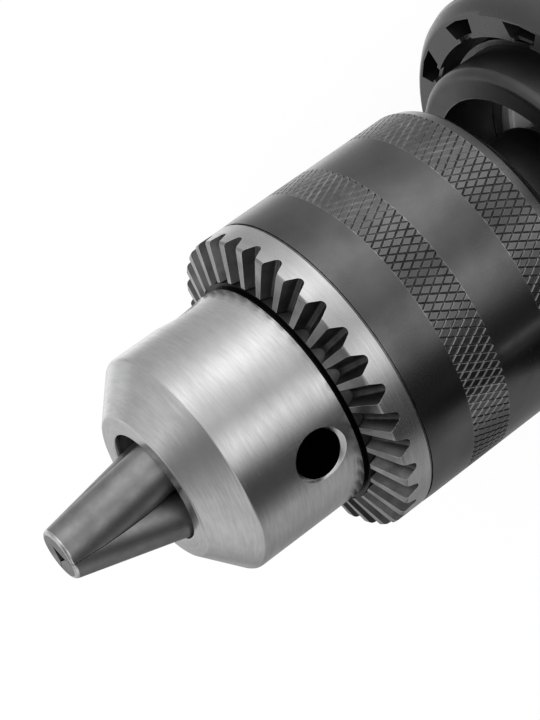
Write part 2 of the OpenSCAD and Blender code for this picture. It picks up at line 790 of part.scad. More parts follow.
// Shape of the handle with its foot, drawn in by t
module handle(t) {
    reach = -foot_z + handle_mid_z;
    difference() {
        union() {
            handle_prism(t, -reach - 20, 20, 0);
            handle_prism(t, -reach - 20, -reach + foot_h, foot_grow);
        }
        translate([100, -60, foot_z + t - 60]) cube([260, 120, 60]);
        translate([100, -60, -45 + t / 2]) cube([260, 120, 60]);
    }
}

module grip_zone() {
    reach = -foot_z + handle_mid_z;
    translate([handle_top_x, 0, handle_mid_z]) rotate([0, -handle_slope, 0])
        translate([7, -60, -reach + foot_h + 4]) cube([60, 120, reach - foot_h - 18]);
}

// Outside of both shells, with room for the grip pads
module shell_outside() {
    barrel(0);
    difference() {
        handle(0);
        grip_zone();
    }
    handle(pad_t);
    // Flat seat for the mode selector on top
    across_x(shell_x, shell_x + 18) polygon([[-14, 0], [14, 0], [14, gear_case_r], [-14, gear_case_r]]);
    for (spot = case_screw_spots) translate([0, spot[0], spot[1]]) rod_x(shell_x, shell_x + 13, case_lug_r);
}

// Ribs inside the shells that carry the motor, the switch and the wiring
module shell_ribs() {
    intersection() {
        barrel(wall - 0.5);
        union() {
            difference() {
                rod_block(shell_x, shell_x + 2.5);
                across_x(shell_x - past, shell_x + 4) polygon(barrel_points(wall + 6));
            }
            difference() {
                for (x = [core_x + 3, core_end - 6]) rod_block(x, x + 3);
                at_motor() rod_x(core_x, core_end, field_r + still_gap);
            }
            difference() {
                rod_block(rear_bearing_x - 0.5, rear_bearing_x + rear_bearing_w + 0.5);
                at_motor() rod_x(rear_bearing_x - 2, rear_bearing_x + 12, rear_bearing_r + boot_t + still_gap);
            }
        }
    }
    intersection() {
        handle(wall - 0.5);
        union() {
            difference() {
                translate([150, -60, rib_z]) cube([150, 120, 2.5]);
                translate([handle_x(rib_z) + 9, 0, rib_z - past]) cylinder(h = 5, r = 4.5);
            }
            difference() {
                translate([150, -60, clamp_z - 3]) cube([150, 120, 3]);
                translate([bush_x - 1, 0, clamp_z - 4]) cylinder(h = 6, r = cord_bore_r + 0.5);
                for (side = [-1, 1]) translate([bush_x - 1, side * 8, clamp_z - 4]) cylinder(h = 6, r = 1.6);
            }
            translate([bush_x - 25, -60, foot_z]) cube([50, 120, bush_h + 1.2]);
            // Frames round the switch
            difference() {
                for (z = [switch_z + 3.4, switch_z + 24]) translate([150, -60, z]) cube([150, 120, 3]);
                translate([switch_x - 30, -switch_size[1] / 2 - 0.1, switch_z - past])
                    cube([switch_size[0] + 30.1, switch_size[1] + 0.2, switch_size[2] + 2 * past]);
            }
        }
    }
}

module rod_block(x0, x1) translate([x0, -60, -110]) cube([x1 - x0, 120, 160]);

// Openings cut through the shells
module shell_cuts() {
    vent_h = 3;
    fan_vent_len = fan_w + 3;
    fan_vent_pitch = 7;
    rear_vent_len = commutator_len + 3;
    rear_vent_pitch = 5.6;
    // Air slots at the fan and at the commutator, each from a depth inside the shell outwards
    for (side = [0, 1]) mirror([0, side, 0]) for (i = [-3:3]) {
        translate([fan_x - 1, 12, -motor_drop + fan_vent_pitch * i - vent_h / 2])
            cube([fan_vent_len, 50, vent_h]);
        translate([commutator_x - 2, 15, -motor_drop + rear_vent_pitch * i - vent_h / 2])
            cube([rear_vent_len, 50, vent_h]);
    }
    // Trigger, direction lever and lock-on button
    translate([switch_x - 30, -trigger_w / 2 - loose_gap, trigger_z - loose_gap])
        cube([30.2, trigger_w + 2 * loose_gap, trigger_h + 2 * loose_gap]);
    translate([switch_x - 30, -9.5, lever_z - 1.4]) cube([44, 19, lever_t + 1.4 + loose_gap]);
    translate([lock_x, 0, lock_z]) rotate([90, 0, 0]) cylinder(h = 40, r = lock_r + loose_gap);
    // Mode selector
    translate([selector_x - 0.6, -11, 5]) cube([selector_t + 1.2, 22, 40]);
    // Cord inlet
    translate([bush_x, 0, foot_z - past]) cylinder(h = 40, r = 7.5 + still_gap);
    translate([bush_x, 0, bush_z + 6]) cylinder(h = 3 + 2 * still_gap, r = 9.5);
    for (spot = case_screw_spots) translate([0, spot[0], spot[1]]) rod_x(shell_x - past, shell_x + 12, case_screw_r + still_gap);
}

// One shell: side is -1 on the left, 1 on the right
module housing_shell(side) {
    boss_r = side > 0 ? 5 : 4;
    difference() {
        union() {
            difference() {
                shell_outside();
                barrel(wall);
                handle(wall);
            }
            shell_ribs();
            for (spot = shell_screw_spots) translate([spot[0], 0, spot[1]]) intersection() {
                rotate([-90 * side, 0, 0]) cylinder(h = 60, r = boss_r);
                translate([-spot[0], 0, -spot[1]]) union() {
                    barrel(wall / 2);
                    handle(pad_t + 0.2);
                }
            }
        }
        shell_cuts();
        for (spot = shell_screw_spots) translate([spot[0], 0, spot[1]]) {
            rotate([-90 * side, 0, 0]) cylinder(h = side > 0 ? 60 : 13, r = shell_screw_r + (side > 0 ? 0.15 : 0.03));
            if (side > 0) translate([0, 8 - still_gap, 0]) rotate([-90, 0, 0]) cylinder(h = 60, r = 3.6);
        }
        translate([0, side > 0 ? -100 + seam_gap : -seam_gap, -250]) cube([400, 100, 400]);
    }
}

module housing_left() color("#4d4f52") housing_shell(-1);

module housing_right() color("#4d4f52") housing_shell(1);

module shell_screws() {
    color("#5a5a5a")
    for (spot = shell_screw_spots) translate([spot[0], 8, spot[1]]) rotate([90, 0, 0]) difference() {
        union() {
            cylinder(h = 20, r = shell_screw_r);
            translate([0, 0, -2.4]) cylinder(h = 2.41, r = 3.4);
        }
        translate([0, 0, -2.4 - past]) cylinder(h = 1.6 + past, r = 1.6, $fn = 6);
    }
}

module grip_pads() {
    color("#2c2c2e")
    difference() {
        intersection() {
            handle(0);
            grip_zone();
        }
        handle(pad_t - 0.02);
        barrel(-0.3);
        translate([100, -seam_gap, -250]) cube([250, 2 * seam_gap, 400]);
        for (spot = shell_screw_spots) translate([spot[0], 0, spot[1]]) rotate([-90, 0, 0]) cylinder(h = 60, r = 4);
    }
}

// Motor

module armature_shaft() {
    m = gear_module;
    front = gear_x - 0.5;
    color("#9a9a9a") at_motor() {
        across_x(front, motor_bearing_x - 1) rotate(-90) polygon(gear_points(
            pinion_teeth, pinion_r, pinion_r + 0.85 * m, pinion_r - 1.2 * m, 0.5 * m, 1.15 * m, 1.25 * m));
        turned([
            [motor_bearing_x - 1, 0], [motor_bearing_x - 1, pinion_r], [motor_bearing_x, motor_bearing_bore - run_gap],
            [motor_bearing_x + motor_bearing_w + 0.3, motor_bearing_bore - run_gap],
            [motor_bearing_x + motor_bearing_w + 0.3, shaft_r],
            [rear_bearing_x - 1, shaft_r], [rear_bearing_x - 1, rear_bearing_bore - run_gap],
            [rear_bearing_x + rear_bearing_w, rear_bearing_bore - run_gap],
            [rear_bearing_x + rear_bearing_w + 1, rear_bearing_bore - 1], [rear_bearing_x + rear_bearing_w + 1, 0]
        ]);
    }
}

// Slots of the armature core
module core_slots_2d() {
    mouth = 1.8;
    for (i = [0:core_slots - 1]) rotate(360 * i / core_slots) translate([slot_circle_r, 0]) {
        circle(r = slot_r, $fn = 32);
        translate([0, -mouth / 2]) square([6, mouth]);
    }
}

module armature_core() {
    color("#7d7d80") at_motor() across_x(core_x, core_end) difference() {
        circle(r = core_r);
        circle(r = shaft_r + still_gap);
        core_slots_2d();
    }
}

module armature_windings() {
    over = 4.6;
    color("#a8562c") at_motor() {
        for (x = [core_x - over, core_end]) turned([
            [x + 0.02, shaft_r + 0.5], [x + 0.02, core_r - 6.5], [x + over / 2, core_r - 3.5],
            [x + over - 0.02, core_r - 5.5], [x + over - 0.02, shaft_r + 0.5]
        ]);
        for (i = [0:core_slots - 1]) around(360 * i / core_slots + 90)
            translate([0, 0, slot_circle_r]) rod_x(core_x - 1, core_end + 1, slot_r - 0.2);
    }
}

module commutator() {
    bars = 24;
    color("#b9703a") at_motor() difference() {
        tube_x(commutator_x, commutator_x + commutator_len, commutator_d / 2, shaft_r + still_gap);
        for (i = [0:bars - 1]) around(360 * (i + 0.5) / bars)
            translate([commutator_x - past, -0.25, commutator_d / 2 - 0.8]) cube([commutator_len - 2, 0.5, 5]);
    }
}

module fan() {
    hub = 9;
    color("#2f3133") at_motor() {
        tube_x(fan_x, fan_x + fan_w, hub, shaft_r + still_gap);
        tube_x(fan_x + fan_w - 1.6, fan_x + fan_w, fan_d / 2, hub - 0.5);
        for (i = [0:fan_blades - 1]) around(360 * i / fan_blades)
            translate([fan_x + 1, -0.7, hub - 0.5]) cube([fan_w - 2, 1.4, fan_d / 2 - hub]);
    }
}

module motor_front_bearing() {
    color("#c4c4c4") at_motor() bearing(motor_bearing_x, motor_bearing_w, motor_bearing_bore, motor_bearing_r, 7);
}

module motor_rear_bearing() {
    color("#c4c4c4") at_motor() bearing(rear_bearing_x, rear_bearing_w, rear_bearing_bore, rear_bearing_r, 7);
}

module bearing_boot() {
    color("#262626") at_motor()
        tube_x(rear_bearing_x - 0.3, rear_bearing_x + rear_bearing_w + 0.3, rear_bearing_r + boot_t, rear_bearing_r);
}

// A sector of a ring about the motor axis, as an outline
module sector_2d(r_out, r_in, a0, a1) {
    far = 3 * r_out;
    intersection() {
        difference() {
            circle(r = r_out);
            circle(r = r_in);
        }
        polygon([[0, 0], for (a = [a0, (2 * a0 + a1) / 3, (a0 + 2 * a1) / 3, a1]) far * [cos(a), sin(a)]]);
    }
}

module field_core() {
    color("#85858a") at_motor() across_x(core_x, core_end) difference() {
        circle(r = field_r);
        circle(r = core_r + 0.6);
        for (side = [0, 180]) rotate(side) sector_2d(field_r - 4, core_r, -38, 38);
    }
}

module field_windings() {
    over = 5.5;
    color("#9c4f28") at_motor() for (side = [0, 180]) rotate([side, 0, 0]) difference() {
        across_x(core_x - over, core_end + over) sector_2d(field_r - 4.3, core_r + 1.2, 3, 177);
        across_x(core_x - 0.3, core_end + 0.3) sector_2d(field_r, core_r - 2, 36, 144);
    }
}

// Brass guide of one brush: side is -1 on the left, 1 on the right
module brush_holder(side) {
    y0 = commutator_d / 2 + 1.8;
    y1 = holder_end;
    outer = [brush_size[0] + 0.3 + 2 * holder_wall, brush_size[2] + 0.3 + 2 * holder_wall];
    inner = [brush_size[0] + 0.3, brush_size[2] + 0.3];
    color("#b8964f") at_motor() difference() {
        translate([brush_x - outer[0] / 2, side > 0 ? y0 : -y1, -outer[1] / 2]) cube([outer[0], y1 - y0, outer[1]]);
        translate([brush_x - inner[0] / 2, side > 0 ? y0 - past : -y1 + holder_wall, -inner[1] / 2])
            cube([inner[0], y1 - y0 + past - holder_wall, inner[1]]);
    }
}

// Carbon brush, hollowed where it rides on the commutator
module brush(side) {
    r = commutator_d / 2 + run_gap;
    color("#3a3a3a") at_motor() difference() {
        translate([brush_x - brush_size[0] / 2, side > 0 ? r - 0.6 : -r + 0.6 - brush_size[1], -brush_size[2] / 2])
            cube(brush_size);
        rod_x(brush_x - 10, brush_x + 10, r);
    }
}

module brush_spring(side) {
    wire_r = 0.3;
    coil_r = 1.9;
    turns = 3;
    y0 = commutator_d / 2 + run_gap - 0.6 + brush_size[1] + wire_r + 0.1;
    length = holder_end - holder_wall - wire_r - 0.1 - y0;
    echo(least_gap_of_brush_spring = wire_gap(length, turns, wire_r));
    color("#c0c0c0") at_motor() translate([brush_x, side * y0, 0]) rotate([-90 * side, 0, 0])
        wire(helix_points(coil_r, length, turns, 8), wire_r);
}

// Controls and wiring

module switch_body() {
    color("#252525")
    difference() {
        across_y(-switch_size[1] / 2, switch_size[1] / 2) translate([switch_x, switch_z]) polygon([
            [0, 8], [2.2, 0], [switch_size[0], 0], [switch_size[0] - 3.6, switch_size[2]], [0, switch_size[2]]
        ]);
        translate([switch_x - past, 0, plunger_z]) rotate([0, 90, 0])
            cylinder(h = trigger_travel + 10, r = plunger_r + run_gap);
        translate([lever_pivot_x, 0, lever_z - 5]) cylinder(h = 8, r = 2 + run_gap);
    }
}

module trigger() {
    deep = 15.5;
    y = trigger_w / 2;
    color("#1d1d1d") {
        difference() {
            across_y(-y, y) polygon(rounded(
                [[trigger_x, trigger_z + trigger_h], [trigger_x + 2, trigger_z + 6], [trigger_x + 5, trigger_z],
                 [trigger_x + deep, trigger_z], [trigger_x + deep, trigger_z + trigger_h]],
                [3, 12, 2, 0, 0]));
            translate([trigger_x - past, 0, dial_z]) rotate([0, 90, 0])
                cylinder(h = 5 + past, r = dial_r + 0.3);
            translate([trigger_x + 3, 0, dial_z]) rotate([0, 90, 0])
                cylinder(h = 6, r = 1.5 + run_gap);
        }
        translate([trigger_x + deep - 0.5, 0, plunger_z]) rotate([0, 90, 0])
            cylinder(h = switch_x - trigger_x - deep + 4, r = plunger_r);
    }
}

module speed_dial() {
    color("#666666") translate([0, 0, dial_z]) {
        difference() {
            rod_x(trigger_x - 1, trigger_x + 3.7, dial_r);
            for (i = [0:11]) around(30 * i) translate([trigger_x - 2, 0, dial_r + 0.35]) rod_x(0, 3.4, 0.9);
        }
        rod_x(trigger_x + 3.6, trigger_x + 8.6, 1.5);
    }
}

module lock_button() {
    flange_t = 0.8;
    flange_y = handle_w / 2 - wall - flange_t - 0.45;
    color("#2a2a2a") translate([lock_x, 0, lock_z]) rotate([90, 0, 0]) {
        translate([0, 0, flange_y]) cylinder(h = handle_w / 2 + lock_travel + 0.3 - flange_y, r = lock_r);
        translate([0, 0, flange_y]) cylinder(h = flange_t, r = lock_r + 1.5);
    }
}

module direction_lever() {
    tip_x = switch_x - 20;
    color("#2a2a2a") {
        translate([0, 0, lever_z]) linear_extrude(lever_t) polygon(rounded(
            [[tip_x, -2.6], [lever_pivot_x, -4.5], [lever_pivot_x + 5, 0], [lever_pivot_x, 4.5], [tip_x, 2.6]],
            [1.6, 2, 2, 2, 1.6]));
        translate([lever_pivot_x, 0, lever_z - 4]) cylinder(h = 4.01, r = 2);
    }
}

module mode_selector() {
    y = -selector_travel / 2;
    top = gear_case_r;
    color("#222222") {
        difference() {
            across_y(y - 9, y + 9) polygon(rounded(
                [[selector_x - 5, top + 0.15], [selector_x + 8, top + 0.15], [selector_x + 7, top + 4.4],
                 [selector_x - 4, top + 4.4]], [0.5, 0.5, 1.6, 1.6]));
            for (i = [-3:3]) translate([selector_x - 6, y + 2.2 * i - 0.5, top + 3.8]) cube([16, 1, 2]);
        }
        translate([selector_x - 0.2, y - 4, top - 3]) cube([selector_t + 0.4, 8, 3.5]);
    }
}

module selector_plate() {
    y = -selector_travel / 2;
    hole_r = tail_r + 0.6;
    color("#9c9c9c")
    difference() {
        across_x(selector_x, selector_x + selector_t) polygon(rounded(
            [[y - 12, -8], [y + 12, -8], [y + 12, 8], [y + 4, 12], [y + 4, gear_case_r - 3.05],
             [y - 4, gear_case_r - 3.05], [y - 4, 12], [y - 12, 8]], [3, 3, 3, 2, 0, 0, 2, 3]));
        rod_x(selector_x - past, selector_x + selector_t + past, hole_r);
    }
}

module capacitor() {
    color("#8a8a2e") translate([handle_x(rib_z) - 9 - capacitor_size[0] / 4, -capacitor_size[1] / 2, rib_z + 2.6])
        cube(capacitor_size);
}

module cord_clamp() {
    color("#333333") difference() {
        translate([bush_x - 6, -11, clamp_z + 0.1]) cube([10, 22, 4]);
        for (side = [-1, 1]) translate([bush_x - 1, side * 8, clamp_z - past]) cylinder(h = 8, r = 1.6);
        translate([bush_x - 1, 0, clamp_z - past]) cylinder(h = 8, r = cord_bore_r);
    }
}

module clamp_screws() {
    color("#8a8a8a") for (side = [-1, 1]) translate([bush_x - 1, side * 8, clamp_z + 4.15]) {
        translate([0, 0, -7]) cylinder(h = 7.1, r = 1.5);
        cylinder(h = 2, r = 2.8);
    }
}

module cord_bush() {
    color("#222222") translate([bush_x, 0, 0]) difference() {
        union() {
            translate([0, 0, foot_z]) cylinder(h = bush_h, r = 7.5);
            translate([0, 0, bush_z + 6 + still_gap]) cylinder(h = 3, r = 9.4);
        }
        translate([0, 0, foot_z - past]) cylinder(h = bush_h + 2 * past, r = cord_bore_r);
    }
}

// Side handle

module clamp_ring() {
    edge = 1.5;
    notch_depth = 4;
    rib = 0.6;
    color("#2b2b2b")
    difference() {
        union() {
            turned([
                [ring_x, ring_mouth_r], [ring_x, ring_r - edge - 0.6], [ring_x + 0.5, ring_r - edge + 0.2],
                [ring_x + 1.4, ring_r - 0.5], [ring_x + 2.6, ring_r], [ring_end - 2, ring_r],
                [ring_end, ring_r - 2], [ring_end, ring_bore_r], [ring_x + 6, ring_bore_r], [ring_x + 6, ring_mouth_r]
            ]);
            // Block that the grip bears on, with the hole for the depth rod
            translate([ring_mid_x - block_w / 2, 0, 0]) difference() {
                translate([0, block_y, block_low]) cube([block_w, -block_y, block_top - block_low]);
                translate([-past, -ring_r + 3, block_low - past])
                    cube([block_w + 2 * past, 2 * ring_r, block_top - block_low + 2 * past]);
            }
        }
        for (i = [0:ring_notches - 1]) around(360 * i / ring_notches + 24) notch(notch_depth, rib);
        rod_x(ring_x - past, ring_end + past, ring_bore_r);
        // Stud and its head
        turned_side([[ring_bore_r - 3, 0], [ring_bore_r - 3, stud_r + 0.1], [-block_y + past, stud_r + 0.1], [-block_y + past, 0]]);
        translate([ring_mid_x - 5.2, -ring_bore_r - stud_head - 0.1, -5.2]) cube([10.4, stud_head + 4, 10.4]);
        translate([0, rod_y, rod_z]) rod_x(ring_x - past, ring_end + past, rod_r + run_gap);
        translate([ring_mid_x, rod_y, rod_z]) cylinder(h = 20, r = 2.5 + run_gap);
    }
}

// One cored pocket in the ring's front face, open a little towards the collar
module notch(depth, rib) {
    half = 180 / ring_notches * 0.46;
    inner = ring_mouth_r + rib;
    outer = ring_r - 2.4;
    translate([ring_x - past, 0, 0]) rotate([90, 0, 90]) linear_extrude(depth + past) polygon([
        inner * [-sin(half * 0.75), cos(half * 0.75)], outer * [-sin(half), cos(half)],
        [0, outer + 0.15], outer * [sin(half), cos(half)], inner * [sin(half * 0.75), cos(half * 0.75)]
    ]);
    translate([ring_x - past, -1.5, ring_mouth_r - past]) cube([0.8 + past, 3, rib + 2 * past]);
}

module clamp_band() {
    color("#8e8e8e") tube_x(ring_x + 2, ring_end - 2, band_r, band_r - band_t);
}

module clamp_stud() {
    color("#9a9a9a") {
        translate([ring_mid_x - 5, -band_r - stud_head - 0.05, -5]) difference() {
            cube([10, stud_head + 1, 10]);
            translate([-ring_mid_x + 5, band_r + stud_head + 0.05, 5]) rod_x(0, 400, band_r + 0.02);
        }
        turned_side([
            [band_r + stud_head - 0.1, 0], [band_r + stud_head - 0.1, stud_r], [-stud_end - 0.8, stud_r],
            [-stud_end, stud_r - 0.8], [-stud_end, 0]
        ]);
    }
}

module clamp_nut() {
    color("#a5a5a5") translate([ring_mid_x, nut_y, 0]) rotate([90, 0, 0]) difference() {
        cylinder(h = 7, r = 7.4, $fn = 6);
        translate([0, 0, -past]) cylinder(h = 9, r = stud_r + run_gap);
    }
}

module side_grip() {
    g = side_grip_d / 2;
    start = -block_y + 0.15;
    end = start + side_grip_len;
    color("#303032")
    difference() {
        turned_side([
            [start, 0], [start, grip_flange_r - 1], [start + 1.5, grip_flange_r], [start + 4, grip_flange_r],
            [start + 6, grip_flange_r - 1.5], [start + 9, g - 2.5], [start + 26, g - 1.2],
            [start + side_grip_len * 0.55, g], [end - 18, g - 2], [end - 10, g - 1.2],
            for (a = [15:15:75]) [end - 9 + 9 * sin(a), g - 10.2 + 9 * cos(a)], [end, g - 10.2], [end, 0]
        ]);
        turned_side([[start - past, 0], [start - past, stud_r + 0.3], [-stud_end + 5, stud_r + 0.3], [-stud_end + 5, 0]]);
        // Hexagonal pocket for the nut, open at the front
        translate([ring_mid_x, -start + past, 0]) rotate([90, 0, 0])
            cylinder(h = -nut_y + 7.1 - start + past, r = 7.45, $fn = 6);
    }
}

module depth_rod() {
    color("#b4b4b4") translate([0, rod_y, rod_z]) turned([
        [rod_start, 0], [rod_start, rod_r - 0.5], [rod_start + 0.8, rod_r],
        [rod_start + rod_len - 0.8, rod_r], [rod_start + rod_len, rod_r - 0.5], [rod_start + rod_len, 0]
    ]);
}

module thumb_screw() {
    start = rod_z + rod_r + 0.05;
    color("#2b2b2b") translate([ring_mid_x, rod_y, 0]) {
        translate([0, 0, start]) cylinder(h = block_top - start + 1.5, r = 2.5);
        difference() {
            translate([0, 0, block_top + 1]) cylinder(h = 9, r = 6.5);
            for (i = [0:7]) rotate(45 * i) translate([7.6, 0, block_top]) cylinder(h = 12, r = 1.9);
        }
    }
}

chuck_body();
jaw(0);  // jaw_1
jaw(1);  // jaw_2
jaw(2);  // jaw_3
split_nut();
thrust_race();
chuck_sleeve();
chuck_screw();
spindle();
spindle_gear();
turning_ratchet();
thrust_washer();
ratchet_spring();
fixed_ratchet();
front_bearing();
retaining_ring();
spindle_bush();
gear_housing();
bearing_plate();
gear_housing_screws();
armature_shaft();
armature_core();
armature_windings();
commutator();
fan();
motor_front_bearing();
motor_rear_bearing();
bearing_boot();
field_core();
field_windings();
brush_holder(-1);  // brush_holder_left
brush_holder(1);  // brush_holder_right
brush(-1);  // brush_left
brush(1);  // brush_right
brush_spring(-1);  // brush_spring_left
brush_spring(1);  // brush_spring_right
housing_left();
housing_right();
shell_screws();
grip_pads();
switch_body();
trigger();
speed_dial();
lock_button();
direction_lever();
mode_selector();
selector_plate();
capacitor();
cord_clamp();
clamp_screws();
cord_bush();
clamp_ring();
clamp_band();
clamp_stud();
clamp_nut();
side_grip();
depth_rod();
thumb_screw();
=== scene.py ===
"""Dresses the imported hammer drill: fuller pieces, finishes, studio and camera."""

import logging
import math
from collections.abc import Callable
from dataclasses import dataclass, replace
from enum import Enum

import bmesh
import bpy
from bmesh.types import BMEdge, BMesh, BMFace, BMVert
from bpy.types import Material, Node, NodeOutputs, NodeSocket, NodeTree, Object
from mathutils import Matrix, Vector


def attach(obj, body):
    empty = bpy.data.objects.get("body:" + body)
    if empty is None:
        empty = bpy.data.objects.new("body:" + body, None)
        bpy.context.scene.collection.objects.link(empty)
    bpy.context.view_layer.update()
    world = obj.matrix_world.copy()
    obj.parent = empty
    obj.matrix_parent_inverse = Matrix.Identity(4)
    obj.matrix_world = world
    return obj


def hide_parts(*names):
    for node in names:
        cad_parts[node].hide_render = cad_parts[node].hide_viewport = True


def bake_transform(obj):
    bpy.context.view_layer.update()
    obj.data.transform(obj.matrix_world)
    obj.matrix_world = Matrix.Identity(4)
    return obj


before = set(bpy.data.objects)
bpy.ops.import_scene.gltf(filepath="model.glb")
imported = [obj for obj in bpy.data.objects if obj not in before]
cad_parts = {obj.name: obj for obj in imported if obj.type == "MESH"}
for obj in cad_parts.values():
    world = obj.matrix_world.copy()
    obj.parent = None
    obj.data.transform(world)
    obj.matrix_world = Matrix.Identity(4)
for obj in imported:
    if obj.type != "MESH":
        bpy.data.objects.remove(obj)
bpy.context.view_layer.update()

LOG = logging.getLogger("hammer_drill")
MM = 0.001
FULL_TURN = 2 * math.pi
WHITE = (1.0, 1.0, 1.0, 1.0)
DRILL_MIDDLE = (0.09, 0.0, -0.03)

Tone = float | tuple[float, float, float]
Point = tuple[float, float]


# Finishes


class Pattern(Enum):
    """The marks that a finish carries."""

    TURNED = "fine rings left by the lathe and the grinder"
    OXIDE = "blotchy blackened steel"
    CAST = "pebbled cast metal under paint"
    PLASTIC = "spark-eroded moulding grain"
    RUBBER = "matt moulded rubber"
    SHEET = "rolled or plated metal"
    STACKED = "edges of stacked sheets"
    WOUND = "lacquered wire, side by side"


class Axis(Enum):
    """The line a pattern runs round, as the turn and shift that bring it onto X, in mm."""

    SPINDLE = ((0.0, 0.0, 0.0), (0.0, 0.0, 0.0))
    MOTOR = ((0.0, 0.0, 24.5), (0.0, 0.0, 0.0))
    GRIP = ((0.0, 92.4, 0.0), (0.0, 0.0, -math.pi / 2))
    ROD = ((0.0, 38.5, -9.6), (0.0, 0.0, 0.0))


class Graph:
    """Adds nodes to one node tree and joins them."""

    def __init__(self, tree: NodeTree) -> None:
        """Keeps the tree.

        Args:
            tree: The node tree that gets the nodes.
        """
        self.tree = tree

    def add(self, kind: str, inputs: dict | None = None, **settings: object) -> Node:
        """Adds one node.

        Args:
            kind: Blender's name of the node type.
            inputs: Values or sockets by input name or number.
            **settings: Properties of the node, set before its inputs.

        Returns:
            The new node.
        """
        node = self.tree.nodes.new(kind)
        for key, value in settings.items():
            setattr(node, key, value)
        for key, value in (inputs or {}).items():
            if isinstance(value, NodeSocket):
                self.tree.links.new(value, node.inputs[key])
            else:
                node.inputs[key].default_value = value
        return node

    def math(self, operation: str, *values: object) -> NodeSocket:
        """Adds a Math node and returns its result."""
        return self.add("ShaderNodeMath", dict(enumerate(values)), operation=operation).outputs[0]

    def times(self, first: object, *others: object) -> NodeSocket:
        """Multiplies values.

        Args:
            first: The first value or socket.
            *others: The values or sockets it is multiplied by, in turn.

        Returns:
            The product's socket.
        """
        for other in others:
            first = self.math("MULTIPLY", first, other)
        return first

    def plus(self, first: object, second: object) -> NodeSocket:
        """Adds two values."""
        return self.math("ADD", first, second)

    def rest(self, value: object) -> NodeSocket:
        """What a share leaves of one."""
        return self.math("SUBTRACT", 1.0, value)

    def remap(self, value: object, low: float, high: float, to_low: float = 0.0,
              to_high: float = 1.0) -> NodeSocket:
        """Maps a value between two limits onto two others, held at both ends."""
        inputs = {"Value": value, "From Min": low, "From Max": high, "To Min": to_low, "To Max": to_high}
        return self.add("ShaderNodeMapRange", inputs).outputs[0]

    def blend(self, factor: object, first: object, second: object) -> NodeSocket:
        """Mixes two colours."""
        return self.add("ShaderNodeMix", {0: factor, 6: first, 7: second}, data_type="RGBA").outputs[2]

    def parts(self, vector: NodeSocket) -> NodeOutputs:
        """The three numbers of a vector."""
        return self.add("ShaderNodeSeparateXYZ", {0: vector}).outputs

    def noise(self, inputs: dict, **settings: object) -> NodeSocket:
        """Adds a Noise Texture and returns its value."""
        return self.add("ShaderNodeTexNoise", inputs, **settings).outputs[0]

    def effect(self, tree: NodeTree, inputs: dict) -> NodeOutputs:
        """Places a shared effect and returns its outputs."""
        return self.add("ShaderNodeGroup", inputs, node_tree=tree).outputs


